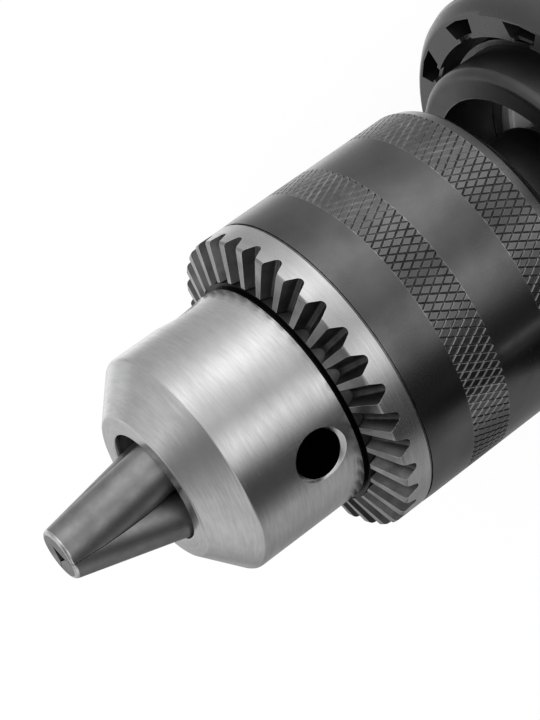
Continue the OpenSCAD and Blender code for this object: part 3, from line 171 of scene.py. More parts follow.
class Effects:
    """The node groups that the finishes share, each built once."""

    def __init__(self) -> None:
        """Builds every group."""
        self.wear_and_glint = self._edge_wear_and_glint()
        self.rings = self._turned_marks()
        self.mottle = self._mottle()
        self.grain = self._moulded_grain()
        self.stack = self._stacked_lines()

    @staticmethod
    def _start(name: str, inputs: dict[str, float | None], *outputs: str) -> tuple[NodeTree, Graph, NodeOutputs]:
        """Starts a group.

        Args:
            name: Name of the group.
            inputs: Input names with their defaults, None for a vector.
            *outputs: Output names, all of them numbers.

        Returns:
            The group tree, its graph and the sockets of its inputs.
        """
        tree = bpy.data.node_groups.new(name, "ShaderNodeTree")
        for label, value in inputs.items():
            kind = "NodeSocketVector" if value is None else "NodeSocketFloat"
            socket = tree.interface.new_socket(name=label, in_out="INPUT", socket_type=kind)
            if value is not None:
                socket.default_value = value
        for label in outputs:
            tree.interface.new_socket(name=label, in_out="OUTPUT", socket_type="NodeSocketFloat")
        graph = Graph(tree)
        return tree, graph, graph.add("NodeGroupInput").outputs

    def _edge_wear_and_glint(self) -> NodeTree:
        """Mask of the rubbed edges, partly wear and partly painted glint: where a rounded normal leaves the true
        one, broken up by noise.

        Returns:
            The node group.
        """
        tree, graph, given = self._start("Edge wear", {"Vector": None, "Radius": 0.0003, "Breaks": 0.8}, "Mask")
        rounded = graph.add("ShaderNodeBevel", {"Radius": given["Radius"]}, samples=4)
        surface = graph.add("ShaderNodeNewGeometry")
        pair = {0: rounded.outputs["Normal"], 1: surface.outputs["Normal"]}
        parted = graph.add("ShaderNodeVectorMath", pair, operation="DOT_PRODUCT").outputs["Value"]
        edge = graph.remap(parted, 0.985, 0.80)
        breaks = graph.noise({"Vector": given["Vector"], "Scale": given["Breaks"], "Detail": 3.0})
        graph.add("NodeGroupOutput", {"Mask": graph.times(edge, graph.remap(breaks, 0.35, 0.62))})
        return tree

    def _turned_marks(self) -> NodeTree:
        """Rings round X: fine marks that last a few degrees, and broad bands.

        Returns:
            The node group.
        """
        tree, graph, given = self._start(
            "Turned marks", {"Vector": None, "Fineness": 6.0, "Breaks": 5.0}, "Marks", "Bands")
        parts = graph.parts(given["Vector"])
        spoke = graph.add("ShaderNodeCombineXYZ", {1: parts[1], 2: parts[2]}).outputs[0]
        radius = graph.add("ShaderNodeVectorMath", {0: spoke}, operation="LENGTH").outputs["Value"]
        unit = graph.add("ShaderNodeVectorMath", {0: spoke}, operation="NORMALIZE").outputs[0]
        results = {}
        for label, share, slow in (("Marks", 1.0, 1.0), ("Bands", 0.09, 0.35)):
            fine = graph.times(given["Fineness"], share)
            arc = graph.times(given["Breaks"], slow)
            along = graph.times(parts[0], fine)
            out = graph.times(radius, fine)
            turn = graph.add("ShaderNodeVectorMath", {0: unit, "Scale": arc}, operation="SCALE").outputs[0]
            split = graph.parts(turn)
            place = graph.add("ShaderNodeCombineXYZ", {0: along, 1: split[1], 2: split[2]}).outputs[0]
            settings = {"Vector": place, "W": out, "Scale": 1.0, "Detail": 3.0, "Roughness": 0.6}
            results[label] = graph.remap(graph.noise(settings, noise_dimensions="4D"), 0.32, 0.68)
        graph.add("NodeGroupOutput", results)
        return tree

    def _mottle(self) -> NodeTree:
        """Soft blotches from 0 to 1.

        Returns:
            The node group.
        """
        tree, graph, given = self._start("Mottle", {"Vector": None, "Size": 6.0}, "Value")
        scale = graph.math("DIVIDE", 1.0, given["Size"])
        noise = graph.noise({"Vector": given["Vector"], "Scale": scale, "Detail": 4.0, "Roughness": 0.55})
        graph.add("NodeGroupOutput", {"Value": graph.remap(noise, 0.33, 0.67)})
        return tree

    def _moulded_grain(self) -> NodeTree:
        """Height of a fine pebbled grain.

        Returns:
            The node group.
        """
        tree, graph, given = self._start("Moulded grain", {"Vector": None, "Size": 0.5}, "Height")
        settings = {"Vector": given["Vector"], "Scale": graph.math("DIVIDE", 1.0, given["Size"])}
        cells = graph.add("ShaderNodeTexVoronoi", settings).outputs["Distance"]
        noise = graph.noise({**settings, "Detail": 2.0})
        graph.add("NodeGroupOutput", {"Height": graph.plus(cells, noise)})
        return tree

    def _stacked_lines(self) -> NodeTree:
        """Rounded ridges one pitch apart along X.

        Returns:
            The node group.
        """
        tree, graph, given = self._start("Stacked lines", {"Vector": None, "Pitch": 0.5}, "Height")
        count = graph.math("DIVIDE", graph.parts(given["Vector"])[0], given["Pitch"])
        ridge = graph.times(graph.math("PINGPONG", count, 0.5), 2.0)
        graph.add("NodeGroupOutput", {"Height": graph.math("POWER", ridge, 0.5)})
        return tree


EFFECTS = Effects()


def paint(tone: Tone) -> tuple[float, float, float, float]:
    """The opaque colour of a tone."""
    return (*tone, 1.0) if isinstance(tone, tuple) else (tone, tone, tone * 1.01, 1.0)


@dataclass(frozen=True)
class Finish:
    """One surface finish with its colours, gloss and marks.

    Attributes:
        name: Name of the material.
        tones: Its darker places, lighter places and rubbed edges, each a colour or the value of a neutral one; the
            edges' colour is partly wear and partly painted glint.
        gloss: Roughness of the glossier and of the duller places.
        pattern: The marks on it.
        metallic: 1 for bare metal.
        size: Size of the marks in mm.
        depth: Height of the marks in mm.
        blotch: Size of the colour changes in mm.
        wear_and_glint: Radius of the lighter rubbed edges in mm, partly wear and partly painted glint, 0 for none.
        axis: The line the marks run round.
        ior: Index of refraction.
    """

    name: str
    tones: tuple[Tone, Tone, Tone]
    gloss: tuple[float, float]
    pattern: Pattern
    metallic: float = 1.0
    size: float = 0.5
    depth: float = 0.02
    blotch: float = 7.0
    wear_and_glint: float = 0.3
    axis: Axis = Axis.SPINDLE
    ior: float = 1.5

    def material(self) -> Material:
        """Builds the finish's material on its first use.

        Returns:
            The material.
        """
        title = f"{self.name}_finish"
        known = bpy.data.materials.get(title)
        if known:
            return known
        made = bpy.data.materials.new(title)
        made.use_nodes = True
        made.node_tree.nodes.clear()
        graph = Graph(made.node_tree)
        place = self._place(graph)
        marks, tone = self._marks(graph, place)
        dark, light, worn_and_glint = (paint(one) for one in self.tones)
        colour = graph.blend(tone, dark, light)
        # Lighter rubbed edges: partly wear, partly a painted glint along every edge.
        if self.wear_and_glint:
            mask = graph.effect(EFFECTS.wear_and_glint, {"Vector": place, "Radius": self.wear_and_glint * MM, "Breaks": 0.8})
            colour = graph.blend(mask["Mask"], colour, worn_and_glint)
        shine = graph.plus(graph.times(marks, 0.5), graph.times(tone, 0.5))
        smooth, dull = self.gloss
        rough = graph.remap(shine, 0.0, 1.0, dull, smooth)
        bump = graph.add("ShaderNodeBump", {"Height": marks, "Distance": self.depth * MM, "Strength": 1.0})
        shader = graph.add("ShaderNodeBsdfPrincipled", {
            "Base Color": colour, "Metallic": self.metallic, "Roughness": rough,
            "IOR": self.ior, "Normal": bump.outputs["Normal"]})
        graph.add("ShaderNodeOutputMaterial", {"Surface": shader.outputs["BSDF"]})
        return made

    def _place(self, graph: Graph) -> NodeSocket:
        """Object coordinates in mm, turned so that the pattern's axis is X.

        Args:
            graph: The material's graph.

        Returns:
            The coordinates.
        """
        shift, turn = self.axis.value
        source = graph.add("ShaderNodeTexCoord").outputs["Object"]
        inputs = {"Vector": source, "Location": shift, "Rotation": turn, "Scale": (1 / MM,) * 3}
        return graph.add("ShaderNodeMapping", inputs, vector_type="POINT").outputs[0]

    def _marks(self, graph: Graph, place: NodeSocket) -> tuple:
        """Builds the pattern.

        Args:
            graph: The material's graph.
            place: Coordinates in mm.

        Returns:
            The height of the marks and the tone between the two colours, both from 0 to 1.
        """
        blotches = graph.effect(EFFECTS.mottle, {"Vector": place, "Size": self.blotch})[0]
        if self.pattern is Pattern.TURNED:
            rings = graph.effect(EFFECTS.rings, {"Vector": place, "Fineness": 1 / self.size, "Breaks": 5.0})
            tone = graph.plus(graph.times(rings["Bands"], 0.55), graph.times(rings["Marks"], 0.45))
            return rings["Marks"], graph.plus(graph.times(tone, 0.7), graph.times(blotches, 0.3))
        if self.pattern in (Pattern.STACKED, Pattern.WOUND):
            lines = graph.effect(EFFECTS.stack, {"Vector": place, "Pitch": self.size})[0]
            return lines, graph.times(lines, blotches)
        grain = graph.effect(EFFECTS.grain, {"Vector": place, "Size": self.size})[0]
        return grain, blotches


class Finishes:
    """Every finish of the drill, by the record's material slot where one slot has one finish."""

    GROUND = Finish("ground_steel", (0.50, 0.75, 0.84), (0.17, 0.29), Pattern.TURNED, size=0.34, depth=0.006,
                    blotch=9.0, wear_and_glint=0.22)
    LAND = Finish("tooth_land_steel", (0.26, 0.42, 0.7), (0.28, 0.42), Pattern.SHEET, size=0.5, depth=0.004,
                  blotch=3.0, wear_and_glint=0.15)
    RING_GROUND = Finish("ring_ground_steel", (0.46, 0.66, 0.86), (0.22, 0.34), Pattern.TURNED, size=0.2,
                         depth=0.004, blotch=4.0, wear_and_glint=0.2)
    # Dark grey steel: painted shade on the faces of the tooth gaps and on the body seen through them.
    MILLED_GAP_SHADE = Finish("milled_gap_painted_shade", (0.075, 0.135, 0.3), (0.30, 0.46), Pattern.CAST, size=0.25, depth=0.003,
                    blotch=2.5, wear_and_glint=0.0)
    # Near-black steel: painted shade in the bores, the holes and the deep gap behind the ring.
    BORE_SHADE = Finish("bore_painted_shade_steel", (0.012, 0.03, 0.05), (0.35, 0.5), Pattern.OXIDE, size=0.3, depth=0.003,
                  wear_and_glint=0.0)
    # Light steel on rounded rims and tooth crests: partly rubbed wear, partly a painted highlight.
    EDGE_WEAR_AND_HIGHLIGHT = Finish("rubbed_edge_and_highlight_steel", (0.55, 0.78, 0.86), (0.2, 0.34), Pattern.OXIDE, size=0.4, depth=0.003,
                  blotch=1.2, wear_and_glint=0.0)
    JAW = Finish("jaw_steel", (0.25, 0.345, 0.46), (0.40, 0.50), Pattern.OXIDE, size=0.5, depth=0.003,
                 blotch=3.0, wear_and_glint=0.22)
    OXIDE = Finish("black_oxide", (0.118, 0.168, 0.42), (0.20, 0.33), Pattern.OXIDE, size=0.30, depth=0.003,
                   blotch=8.0, wear_and_glint=0.16)
    BLUED = Finish("blued_steel", (0.06, 0.12, 0.3), (0.26, 0.4), Pattern.SHEET, size=0.30, depth=0.003,
                   blotch=9.0, wear_and_glint=0.2)
    # Dark steel of the nut and screw; on the body's rear hub the same colour is painted shade.
    DARK_STEEL_AND_HUB_SHADE = Finish("dark_steel", (0.10, 0.20, 0.45), (0.28, 0.45), Pattern.TURNED, size=0.2, depth=0.004)
    SHAFT = Finish("shaft_steel", (0.42, 0.60, 0.75), (0.2, 0.34), Pattern.TURNED, size=0.2, depth=0.004)
    MOTOR_SHAFT = replace(SHAFT, name="motor_shaft_steel", axis=Axis.MOTOR)
    SPRING = Finish("spring_steel", (0.35, 0.55, 0.7), (0.25, 0.4), Pattern.SHEET, size=0.3, depth=0.004,
                    wear_and_glint=0.0)
    BEARING = Finish("bearing_steel", (0.60, 0.78, 0.86), (0.14, 0.26), Pattern.TURNED, size=0.25, depth=0.003)
    MOTOR_BEARING = replace(BEARING, name="motor_bearing_steel", axis=Axis.MOTOR)
    SINTERED = Finish("sintered_steel", (0.24, 0.36, 0.6), (0.38, 0.55), Pattern.CAST, size=0.22, depth=0.01)
    BRONZE = Finish("sintered_bronze", ((0.42, 0.27, 0.12), (0.56, 0.38, 0.18), (0.75, 0.55, 0.3)), (0.35, 0.5),
                    Pattern.CAST, size=0.2, depth=0.008)
    CASE = Finish("gear_case_paint", (0.070, 0.105, 0.30), (0.30, 0.42), Pattern.CAST, metallic=0.92, size=0.45,
                  depth=0.006, blotch=14.0, wear_and_glint=0.35)
    SATIN = Finish("satin_bearing_steel", (0.84, 0.92, 0.94), (0.3, 0.42), Pattern.TURNED, metallic=0.0,
                   size=0.25, depth=0.003)
    ALLOY = Finish("cast_alloy", (0.40, 0.56, 0.72), (0.38, 0.55), Pattern.CAST, size=0.6, depth=0.03)
    SCREW = Finish("screw_steel", (0.10, 0.18, 0.5), (0.28, 0.42), Pattern.SHEET, size=0.3, depth=0.006)
    LAMINATION = Finish("lamination", (0.18, 0.42, 0.6), (0.34, 0.5), Pattern.STACKED, size=0.5, depth=0.05,
                        axis=Axis.MOTOR)
    COPPER = Finish("copper_wire", ((0.22, 0.07, 0.03), (0.50, 0.20, 0.09), (0.6, 0.3, 0.15)), (0.24, 0.42),
                    Pattern.WOUND, metallic=0.6, size=0.6, depth=0.12, wear_and_glint=0.0, axis=Axis.MOTOR)
    BARS = Finish("commutator_copper", ((0.55, 0.24, 0.12), (0.72, 0.36, 0.2), (0.8, 0.5, 0.35)), (0.25, 0.4),
                  Pattern.TURNED, size=0.3, depth=0.006, axis=Axis.MOTOR)
    CARBON = Finish("carbon", (0.018, 0.035, 0.09), (0.4, 0.6), Pattern.SHEET, metallic=0.0, size=0.2,
                    depth=0.008)
    BRASS = Finish("brass_sheet", ((0.50, 0.36, 0.13), (0.68, 0.50, 0.2), (0.8, 0.65, 0.35)), (0.26, 0.42),
                   Pattern.SHEET, size=0.5, depth=0.004)
    SHELL = Finish("shell_plastic", (0.048, 0.066, 0.13), (0.40, 0.54), Pattern.PLASTIC, metallic=0.0,
                   size=0.42, depth=0.022, blotch=30.0, wear_and_glint=0.4)
    BLACK = Finish("black_plastic", (0.020, 0.032, 0.08), (0.34, 0.48), Pattern.PLASTIC, metallic=0.0,
                   size=0.38, depth=0.016, blotch=16.0, wear_and_glint=0.35)
    RING = Finish("ring_plastic", (0.020, 0.030, 0.09), (0.26, 0.38), Pattern.PLASTIC, metallic=0.0, size=0.5,
                  depth=0.006, blotch=12.0, wear_and_glint=0.35, ior=1.7)
    # Near-black plastic: painted shade in the clamp ring's recesses.
    RECESS_SHADE = Finish("ring_recess_painted_shade", (0.004, 0.007, 0.02), (0.5, 0.65), Pattern.PLASTIC, metallic=0.0,
                    size=0.5, depth=0.006, blotch=12.0, wear_and_glint=0.0)
    CONTROL = Finish("control_plastic", (0.014, 0.024, 0.07), (0.26, 0.4), Pattern.PLASTIC, metallic=0.0,
                     size=0.45, depth=0.008, blotch=8.0, wear_and_glint=0.3)
    DIAL = Finish("dial_plastic", (0.13, 0.19, 0.3), (0.34, 0.5), Pattern.PLASTIC, metallic=0.0, size=0.35,
                  depth=0.01, blotch=4.0)
    SOFT = Finish("soft_rubber", (0.012, 0.022, 0.05), (0.55, 0.7), Pattern.RUBBER, metallic=0.0, size=0.5,
                  depth=0.03, blotch=9.0, wear_and_glint=0.0)
    GRIP = Finish("grip_rubber", (0.016, 0.028, 0.06), (0.5, 0.66), Pattern.RUBBER, metallic=0.0, size=0.7,
                  depth=0.04, blotch=14.0, wear_and_glint=0.5, axis=Axis.GRIP)
    CAPACITOR = Finish("capacitor_case", ((0.30, 0.25, 0.05), (0.42, 0.36, 0.08), (0.5, 0.45, 0.15)),
                       (0.3, 0.45), Pattern.PLASTIC, metallic=0.0, size=0.4, depth=0.01)
    ROD = Finish("rod_steel", (0.50, 0.68, 0.82), (0.2, 0.34), Pattern.TURNED, size=0.2, depth=0.004,
                 axis=Axis.ROD)


# Shapes


def turned(profile: list[Point], steps: int, corner: float, soft: dict[int, float] | None = None) -> BMesh:
    """Spins a closed outline of [station, radius] points about X.

    Args:
        profile: Points in mm, round the section in one direction.
        steps: Sides round the axis.
        corner: Usual size of a rounded corner in mm, 0 for none.
        soft: Corner sizes in mm by point number, where they differ from the usual one.

    Returns:
        The closed shape in mm.
    """
    bm = bmesh.new()
    verts = [bm.verts.new((x, 0.0, r)) for x, r in profile]
    bm.faces.new(verts)
    sizes: dict[float, list] = {}
    for number, vert in enumerate(verts):
        size = (soft or {}).get(number, corner if profile[number][1] > 1e-6 else 0.0)
        if size > 0:
            sizes.setdefault(size, []).append(vert)
    for size, group in sorted(sizes.items()):
        bmesh.ops.bevel(bm, geom=group, offset=size, offset_type="OFFSET", affect="VERTICES", profile=0.5,
                        segments=2, material=-1, clamp_overlap=True)
    bmesh.ops.delete(bm, geom=bm.faces[:], context="FACES_ONLY")
    bmesh.ops.spin(bm, geom=bm.verts[:] + bm.edges[:], cent=(0, 0, 0), axis=(1, 0, 0), angle=FULL_TURN,
                   steps=steps, use_merge=True, use_normal_flip=False, use_duplicate=False)
    heal(bm, 1e-5)
    return bm


def sharpen(bm: BMesh, limit: float) -> None:
    """Smooths the faces and marks the sharp edges.

    Args:
        bm: The mesh.
        limit: Edges that turn by more than this many degrees stay sharp.
    """
    for face in bm.faces:
        face.smooth = True
    for edge in bm.edges:
        edge.smooth = len(edge.link_faces) == 2 and edge.calc_face_angle(0.0) < math.radians(limit)


def round_edges(bm: BMesh, size: float, limit: float, segments: int = 2,
                where: Callable[[BMEdge], bool] | None = None) -> list[BMFace]:
    """Rounds the sharp edges of a mesh.

    Args:
        bm: The mesh, in mm.
        size: Width of the rounding in mm.
        limit: Edges that turn by more than this many degrees are rounded.
        segments: Steps of the rounding.
        where: Test that an edge has to pass, or None.

    Returns:
        The faces of the roundings.
    """
    turn = math.radians(limit)
    edges = [e for e in bm.edges if len(e.link_faces) == 2 and e.calc_face_angle(0.0) > turn
             and (where is None or where(e))]
    return bmesh.ops.bevel(bm, geom=edges, offset=size, offset_type="OFFSET", affect="EDGES", segments=segments,
                           profile=0.5, material=-1, clamp_overlap=True, loop_slide=True)["faces"]


def copied(node: str) -> BMesh:
    """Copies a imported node's mesh, with its loose triangles merged into plain faces.

    Args:
        node: Name of the node.

    Returns:
        The mesh in mm.
    """
    bm = bmesh.new()
    bm.from_mesh(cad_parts[node].data)
    bmesh.ops.scale(bm, vec=(1 / MM,) * 3, verts=bm.verts[:])
    weld(bm, 2e-3)
    bmesh.ops.dissolve_limit(bm, angle_limit=math.radians(0.6), verts=bm.verts[:], edges=bm.edges[:],
                             use_dissolve_boundaries=False, delimit=set())
    return bm


def move(bm: BMesh, matrix: Matrix) -> None:
    """Moves a whole mesh by a matrix."""
    bmesh.ops.transform(bm, matrix=matrix, verts=bm.verts[:])


def whole(bm: BMesh) -> list:
    """Every vertex, edge and face of a mesh."""
    return bm.verts[:] + bm.edges[:] + bm.faces[:]


def rims(bm: BMesh) -> list[BMEdge]:
    """The edges that bound an open mesh."""
    return [edge for edge in bm.edges if edge.is_boundary]


def weld(bm: BMesh, gap: float) -> None:
    """Joins vertices that lie closer than a gap in mm."""
    bmesh.ops.remove_doubles(bm, verts=bm.verts[:], dist=gap)


def heal(bm: BMesh, gap: float) -> None:
    """Joins vertices that lie closer than a gap in mm, and turns every face outwards."""
    weld(bm, gap)
    bmesh.ops.recalc_face_normals(bm, faces=bm.faces[:])


def verts_of(parts: list) -> list[BMVert]:
    """The vertices among what an operator returned."""
    return [part for part in parts if isinstance(part, BMVert)]


def repeat(bm: BMesh, shifts: list[Point]) -> None:
    """Copies a whole mesh to further places.

    Args:
        bm: The mesh in mm.
        shifts: How far each copy lies along X and Y in mm.
    """
    first = whole(bm)
    for along, across in shifts:
        new = bmesh.ops.duplicate(bm, geom=first)["geom"]
        bmesh.ops.translate(bm, vec=(along, across, 0), verts=verts_of(new))


def place_of(face: BMFace) -> Point:
    """Where a face's middle lies along X, and how far from it."""
    middle = face.calc_center_median()
    return middle.x, math.hypot(middle.y, middle.z)


def about_spindle(degrees: float) -> Matrix:
    """Turn about the spindle, from the top towards +Y."""
    return Matrix.Rotation(-math.radians(degrees), 4, "X")


def raw_object(name: str, bm: BMesh) -> Object:
    """Makes an object of a mesh.

    Args:
        name: Name of the object.
        bm: Its mesh in mm, which is freed.

    Returns:
        The object, in metres.
    """
    bmesh.ops.scale(bm, vec=(MM,) * 3, verts=bm.verts[:])
    mesh = bpy.data.meshes.new(name)
    bm.to_mesh(mesh)
    bm.free()
    made = bpy.data.objects.new(name, mesh)
    bpy.context.scene.collection.objects.link(made)
    return made


def cut(bm: BMesh, tools: list[BMesh]) -> BMesh:
    """Cuts tools out of a shape.

    Args:
        bm: The shape in mm, which is freed.
        tools: Closed shapes in mm to take away, which are freed.

    Returns:
        The cut shape in mm.
    """
    joined = bmesh.new()
    for tool in tools:
        for face in tool.faces:
            face.material_index = 1
        mesh = bpy.data.meshes.new("tool")
        tool.to_mesh(mesh)
        tool.free()
        joined.from_mesh(mesh)
        bpy.data.meshes.remove(mesh)
    body, cutter = raw_object("cut_body", bm), raw_object("cut_tool", joined)
    for mesh in (body.data, cutter.data):
        for _ in range(2):
            mesh.materials.append(None)
    step = body.modifiers.new("cut", "BOOLEAN")
    step.operation, step.solver, step.material_mode, step.object = "DIFFERENCE", "EXACT", "INDEX", cutter
    bpy.context.view_layer.update()
    solid = body.evaluated_get(bpy.context.evaluated_depsgraph_get())
    result = bmesh.new()
    result.from_mesh(solid.to_mesh())
    solid.to_mesh_clear()
    for used in (body, cutter):
        mesh = used.data
        bpy.data.objects.remove(used)
        bpy.data.meshes.remove(mesh)
    bmesh.ops.scale(result, vec=(1 / MM,) * 3, verts=result.verts[:])
    weld(result, 1e-4)
    return result


@dataclass(frozen=True)
class Coil:
    """The shape of a wound spring of round wire.

    Attributes:
        middle_r: Radius of the coil to the middle of the wire, in mm.
        wire_r: Radius of the wire in mm.
        length: Length in mm.
        turns: Number of turns.
        steps: Sides of one turn.
    """

    middle_r: float
    wire_r: float
    length: float
    turns: int = 3
    steps: int = 32

    def shape(self) -> BMesh:
        """Winds the wire about X, from 0 to its length, and closes its ends.

        Returns:
            The wire in mm.
        """
        bm = bmesh.new()
        start = Matrix.Translation((0, 0, self.middle_r)) @ Matrix.Rotation(math.pi / 2, 4, "X")
        bmesh.ops.create_circle(bm, cap_ends=False, radius=self.wire_r, segments=12, matrix=start)
        bmesh.ops.spin(bm, geom=bm.verts[:] + bm.edges[:], cent=(0, 0, 0), axis=(1, 0, 0),
                       angle=FULL_TURN * self.turns, steps=self.steps * self.turns,
                       dvec=(self.length / self.turns / self.steps, 0, 0), use_merge=False, use_duplicate=False)
        bmesh.ops.holes_fill(bm, edges=rims(bm), sides=0)
        bmesh.ops.recalc_face_normals(bm, faces=bm.faces[:])
        return bm


# Sub-assemblies


class Assembly:
    """Shared steps of every sub-assembly."""

    def finish(self, name: str, bm: BMesh, body: str | None, slot: str, finishes: tuple[Finish, ...],
               replaces: tuple[str, ...], crease: float = 32.0) -> Object:
        """Turns a mesh in mm into a dressed piece on its body.

        Args:
            name: Name of the piece.
            bm: Its mesh in mm, which is freed.
            body: The CAD body it rides on, or None for a piece on no body.
            slot: The record's material slot; not used.
            finishes: Its finishes, by the faces' material number.
            replaces: The CAD nodes it stands for.
            crease: Edges that turn by more than this many degrees stay sharp.

        Returns:
            The piece.
        """
        sharpen(bm, crease)
        piece = raw_object(name, bm)
        for one in finishes:
            piece.data.materials.append(one.material())
        even = piece.modifiers.new("even shading", "WEIGHTED_NORMAL")
        even.keep_sharp = True
        if body:
            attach(piece, body)
        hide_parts(*replaces)
        LOG.info("%s: %d faces on %s", name, len(piece.data.polygons), body)
        return piece

    def spring(self, node: str, coil: Coil, place: Matrix, bodies: tuple[str, str]) -> None:
        """Makes a wound spring in its place.

        Args:
            node: The CAD node it stands for.
            coil: Its shape.
            place: Brings the shape from the X axis to its place.
            bodies: The body that holds its first end and the body that holds its last end; not used.
        """
        bm = coil.shape()
        move(bm, place)
        piece = self.finish(f"{node}_wire", bm, None, "spring_steel", (Finishes.SPRING,), (node,))
        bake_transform(piece)

    def dress(self, slot: str, finish: Finish, *nodes: str) -> None:
        """Gives CAD nodes their finish and keeps their shape.

        Args:
            slot: The record's material slot; not used.
            finish: The finish.
            *nodes: Names of the nodes.
        """
        for node in nodes:
            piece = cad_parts[node]
            piece.data.materials.clear()
            piece.data.materials.append(finish.material())
            LOG.info("%s: kept from the frame", node)

    def eased(self, node: str, body: str, slot: str, finish: Finish, size: float, limit: float = 40.0) -> None:
        """Replaces a CAD node by its own shape with rounded edges.

        Args:
            node: Name of the node.
            body: The CAD body it rides on.
            slot: The record's material slot; not used.
            finish: Its finish.
            size: Width of the roundings in mm.
            limit: Edges that turn by more than this many degrees are rounded.
        """
        bm = copied(node)
        round_edges(bm, size, limit)
        self.finish(f"{node}_eased", bm, body, slot, (finish,), (node,))


@dataclass
class Chuck(Assembly):
    """The keyed chuck: body, jaws, toothed sleeve and what is inside it. Stations lie along X, in mm."""

    turn: float = 1.8
    # Body: nose, key pilot hole, seat of the nut, rear hub, boss, bores
    nose: float = 14.5
    nose_r: float = 10.3
    bevel: float = 19.4
    body_r: float = 15.7
    groove: float = 0.6
    groove_ahead: float = 0.42
    hole_x: float = 30.05
    hole_r: float = 3.15
    seat: float = 38.95
    seat_r: float = 13.61
    hub: float = 48.45
    hub_r: float = 19.42
    hub_end: float = 71.4
    boss_r: float = 10.8
    boss_end: float = 83.4
    thread: float = 57.4
    thread_r: float = 6.35
    screw_r: float = 3.1
    shank_end: float = 53.1
    shank_r: float = 6.6
    # Jaws: sloping rods, of which a wedge between two heights is left
    slope: float = 15.5
    jaw_r: float = 3.5
    jaw_tip_r: float = 3.45
    jaw_ahead: float = 14.0
    jaw_length: float = 57.7
    jaw_heights: Point = (0.75, 13.31)
    jaw_gap: float = 0.05
    jaw_edge: float = 0.14
    jaw_rim: float = 0.42
    jaw_bore: float = 134.0
    # Toothed ring and the gaps between its teeth
    sleeve: float = 35.65
    sleeve_r: float = 21.5
    lip_r: float = 16.3
    cavity: float = 39.35
    cavity_r: float = 19.5
    ring_slope: float = 1.35
    ring_length: float = 5.4
    teeth: int = 33
    gap_inner: float = 1.4
    gap_outer: float = 3.3
    gap_floor: float = 0.42
    gap_flank: float = 29.5
    gap_root: float = 0.36
    crest_edge: float = 0.13
    # Sleeve behind the ring, with its knurled bands
    taper_end: float = 43.05
    sleeve_end: float = 69.9
    knurls: tuple[Point, ...] = ((48.15, 54.10), (61.80, 67.90))
    knurl_round: int = 110
    knurl_rows: int = 4
    knurl_angle: float = 30.0
    knurl_seat: float = 0.42
    knurl_depth: float = 0.15
    knurl_flank: float = 0.14

    def build(self) -> None:
        """Builds the chuck."""
        self._body()
        for number in range(3):
            self._jaw(number)
        self._ring()
        self._sleeve()
        for number, (start, end) in enumerate(self.knurls):
            self._knurl(f"knurl_{number + 1}", start, end)
        self.dress("dark_steel", Finishes.DARK_STEEL_AND_HUB_SHADE, "split_nut")
        self.dress("bearing_steel", Finishes.BEARING, "thrust_race")
        self.dress("dark_steel", Finishes.DARK_STEEL_AND_HUB_SHADE, "chuck_screw")

    def _jaw_axis(self) -> Matrix:
        """Brings Z onto the sloping axis of the top jaw."""
        low = self.jaw_tip_r - self.jaw_r / math.cos(math.radians(self.slope))
        return Matrix.Translation((0, 0, low)) @ Matrix.Rotation(math.radians(90 - self.slope), 4, "Y")

    def _key_hole(self, number: int) -> BMesh:
        """The tool that drills one key pilot hole with its bevelled rim.

        Args:
            number: Number of the jaw that the hole follows.

        Returns:
            The closed shape in mm, in its place.
        """
        inner, rim, outer = self.shank_r + 1, self.body_r - 0.62, self.body_r + 0.4
        hole = turned([(inner, 0.0), (inner, self.hole_r), (rim, self.hole_r), (outer, self.hole_r + outer - rim),
                       (outer, 0.0)], steps=64, corner=0.0, soft={2: 0.12})
        move(hole, about_spindle(self.turn + 60 + 120 * number) @ Matrix.Translation((self.hole_x, 0, 0))
             @ Matrix.Rotation(-math.pi / 2, 4, "Y"))
        return hole

    def _body(self) -> None:
        """Ground body with its nose, key pilot holes and rear hub."""
        mouth = self.jaw_tip_r + self.nose * math.tan(math.radians(self.slope)) + 0.2
        relief, shadow, step_r = self.sleeve - self.groove_ahead, self.sleeve + 0.08, self.lip_r - 0.1
        groove_r, break_1, break_2 = self.body_r - self.groove, 1.0, 0.8
        profile = [
            (self.nose, mouth), (self.nose, self.nose_r), (self.bevel, self.body_r), (relief, self.body_r),
            (relief, groove_r), (shadow, groove_r), (shadow, step_r), (self.seat, step_r),
            (self.seat, self.seat_r), (self.hub, self.seat_r), (self.hub, self.hub_r),
            (self.hub_end - break_1, self.hub_r), (self.hub_end, self.hub_r - break_1), (self.hub_end, self.boss_r),
            (self.boss_end - break_2, self.boss_r), (self.boss_end, self.boss_r - break_2),
            (self.boss_end, self.thread_r), (self.thread, self.thread_r), (self.thread, self.screw_r),
            (self.shank_end, self.screw_r), (self.shank_end, self.shank_r), (self.nose + 5, self.shank_r),
            (self.nose + 1, mouth)]
        soft = {0: 0.3, 1: 0.25, 2: 0.3, 3: 0.12, 4: 0.0, 5: 0.0, 6: 0.0, 11: 0.3, 12: 0.3, 14: 0.3, 15: 0.3}
        bm = turned(profile, steps=144, corner=0.15, soft=soft)
        for number in range(3):
            bore = bmesh.new()
            bmesh.ops.create_cone(bore, cap_ends=True, segments=64, radius1=self.jaw_r + self.jaw_gap,
                                  radius2=self.jaw_r + self.jaw_gap, depth=self.jaw_bore)
            move(bore, about_spindle(self.turn + 120 * number) @ self._jaw_axis())
            bm = cut(bm, [bore])
        bm = cut(bm, [self._key_hole(number) for number in range(3)])
        ground, shaded_bore, dark, gap_shade = range(4)
        for face in bm.faces:
            station, radius = place_of(face)
            # The rear hub behind the ring gets dark steel as painted shade.
            if station > self.hub + 1.55:
                face.material_index = dark
            # The body's step seen through the tooth gaps gets dark grey steel as painted shade.
            elif station > shadow and radius > step_r - 0.2:
                face.material_index = gap_shade
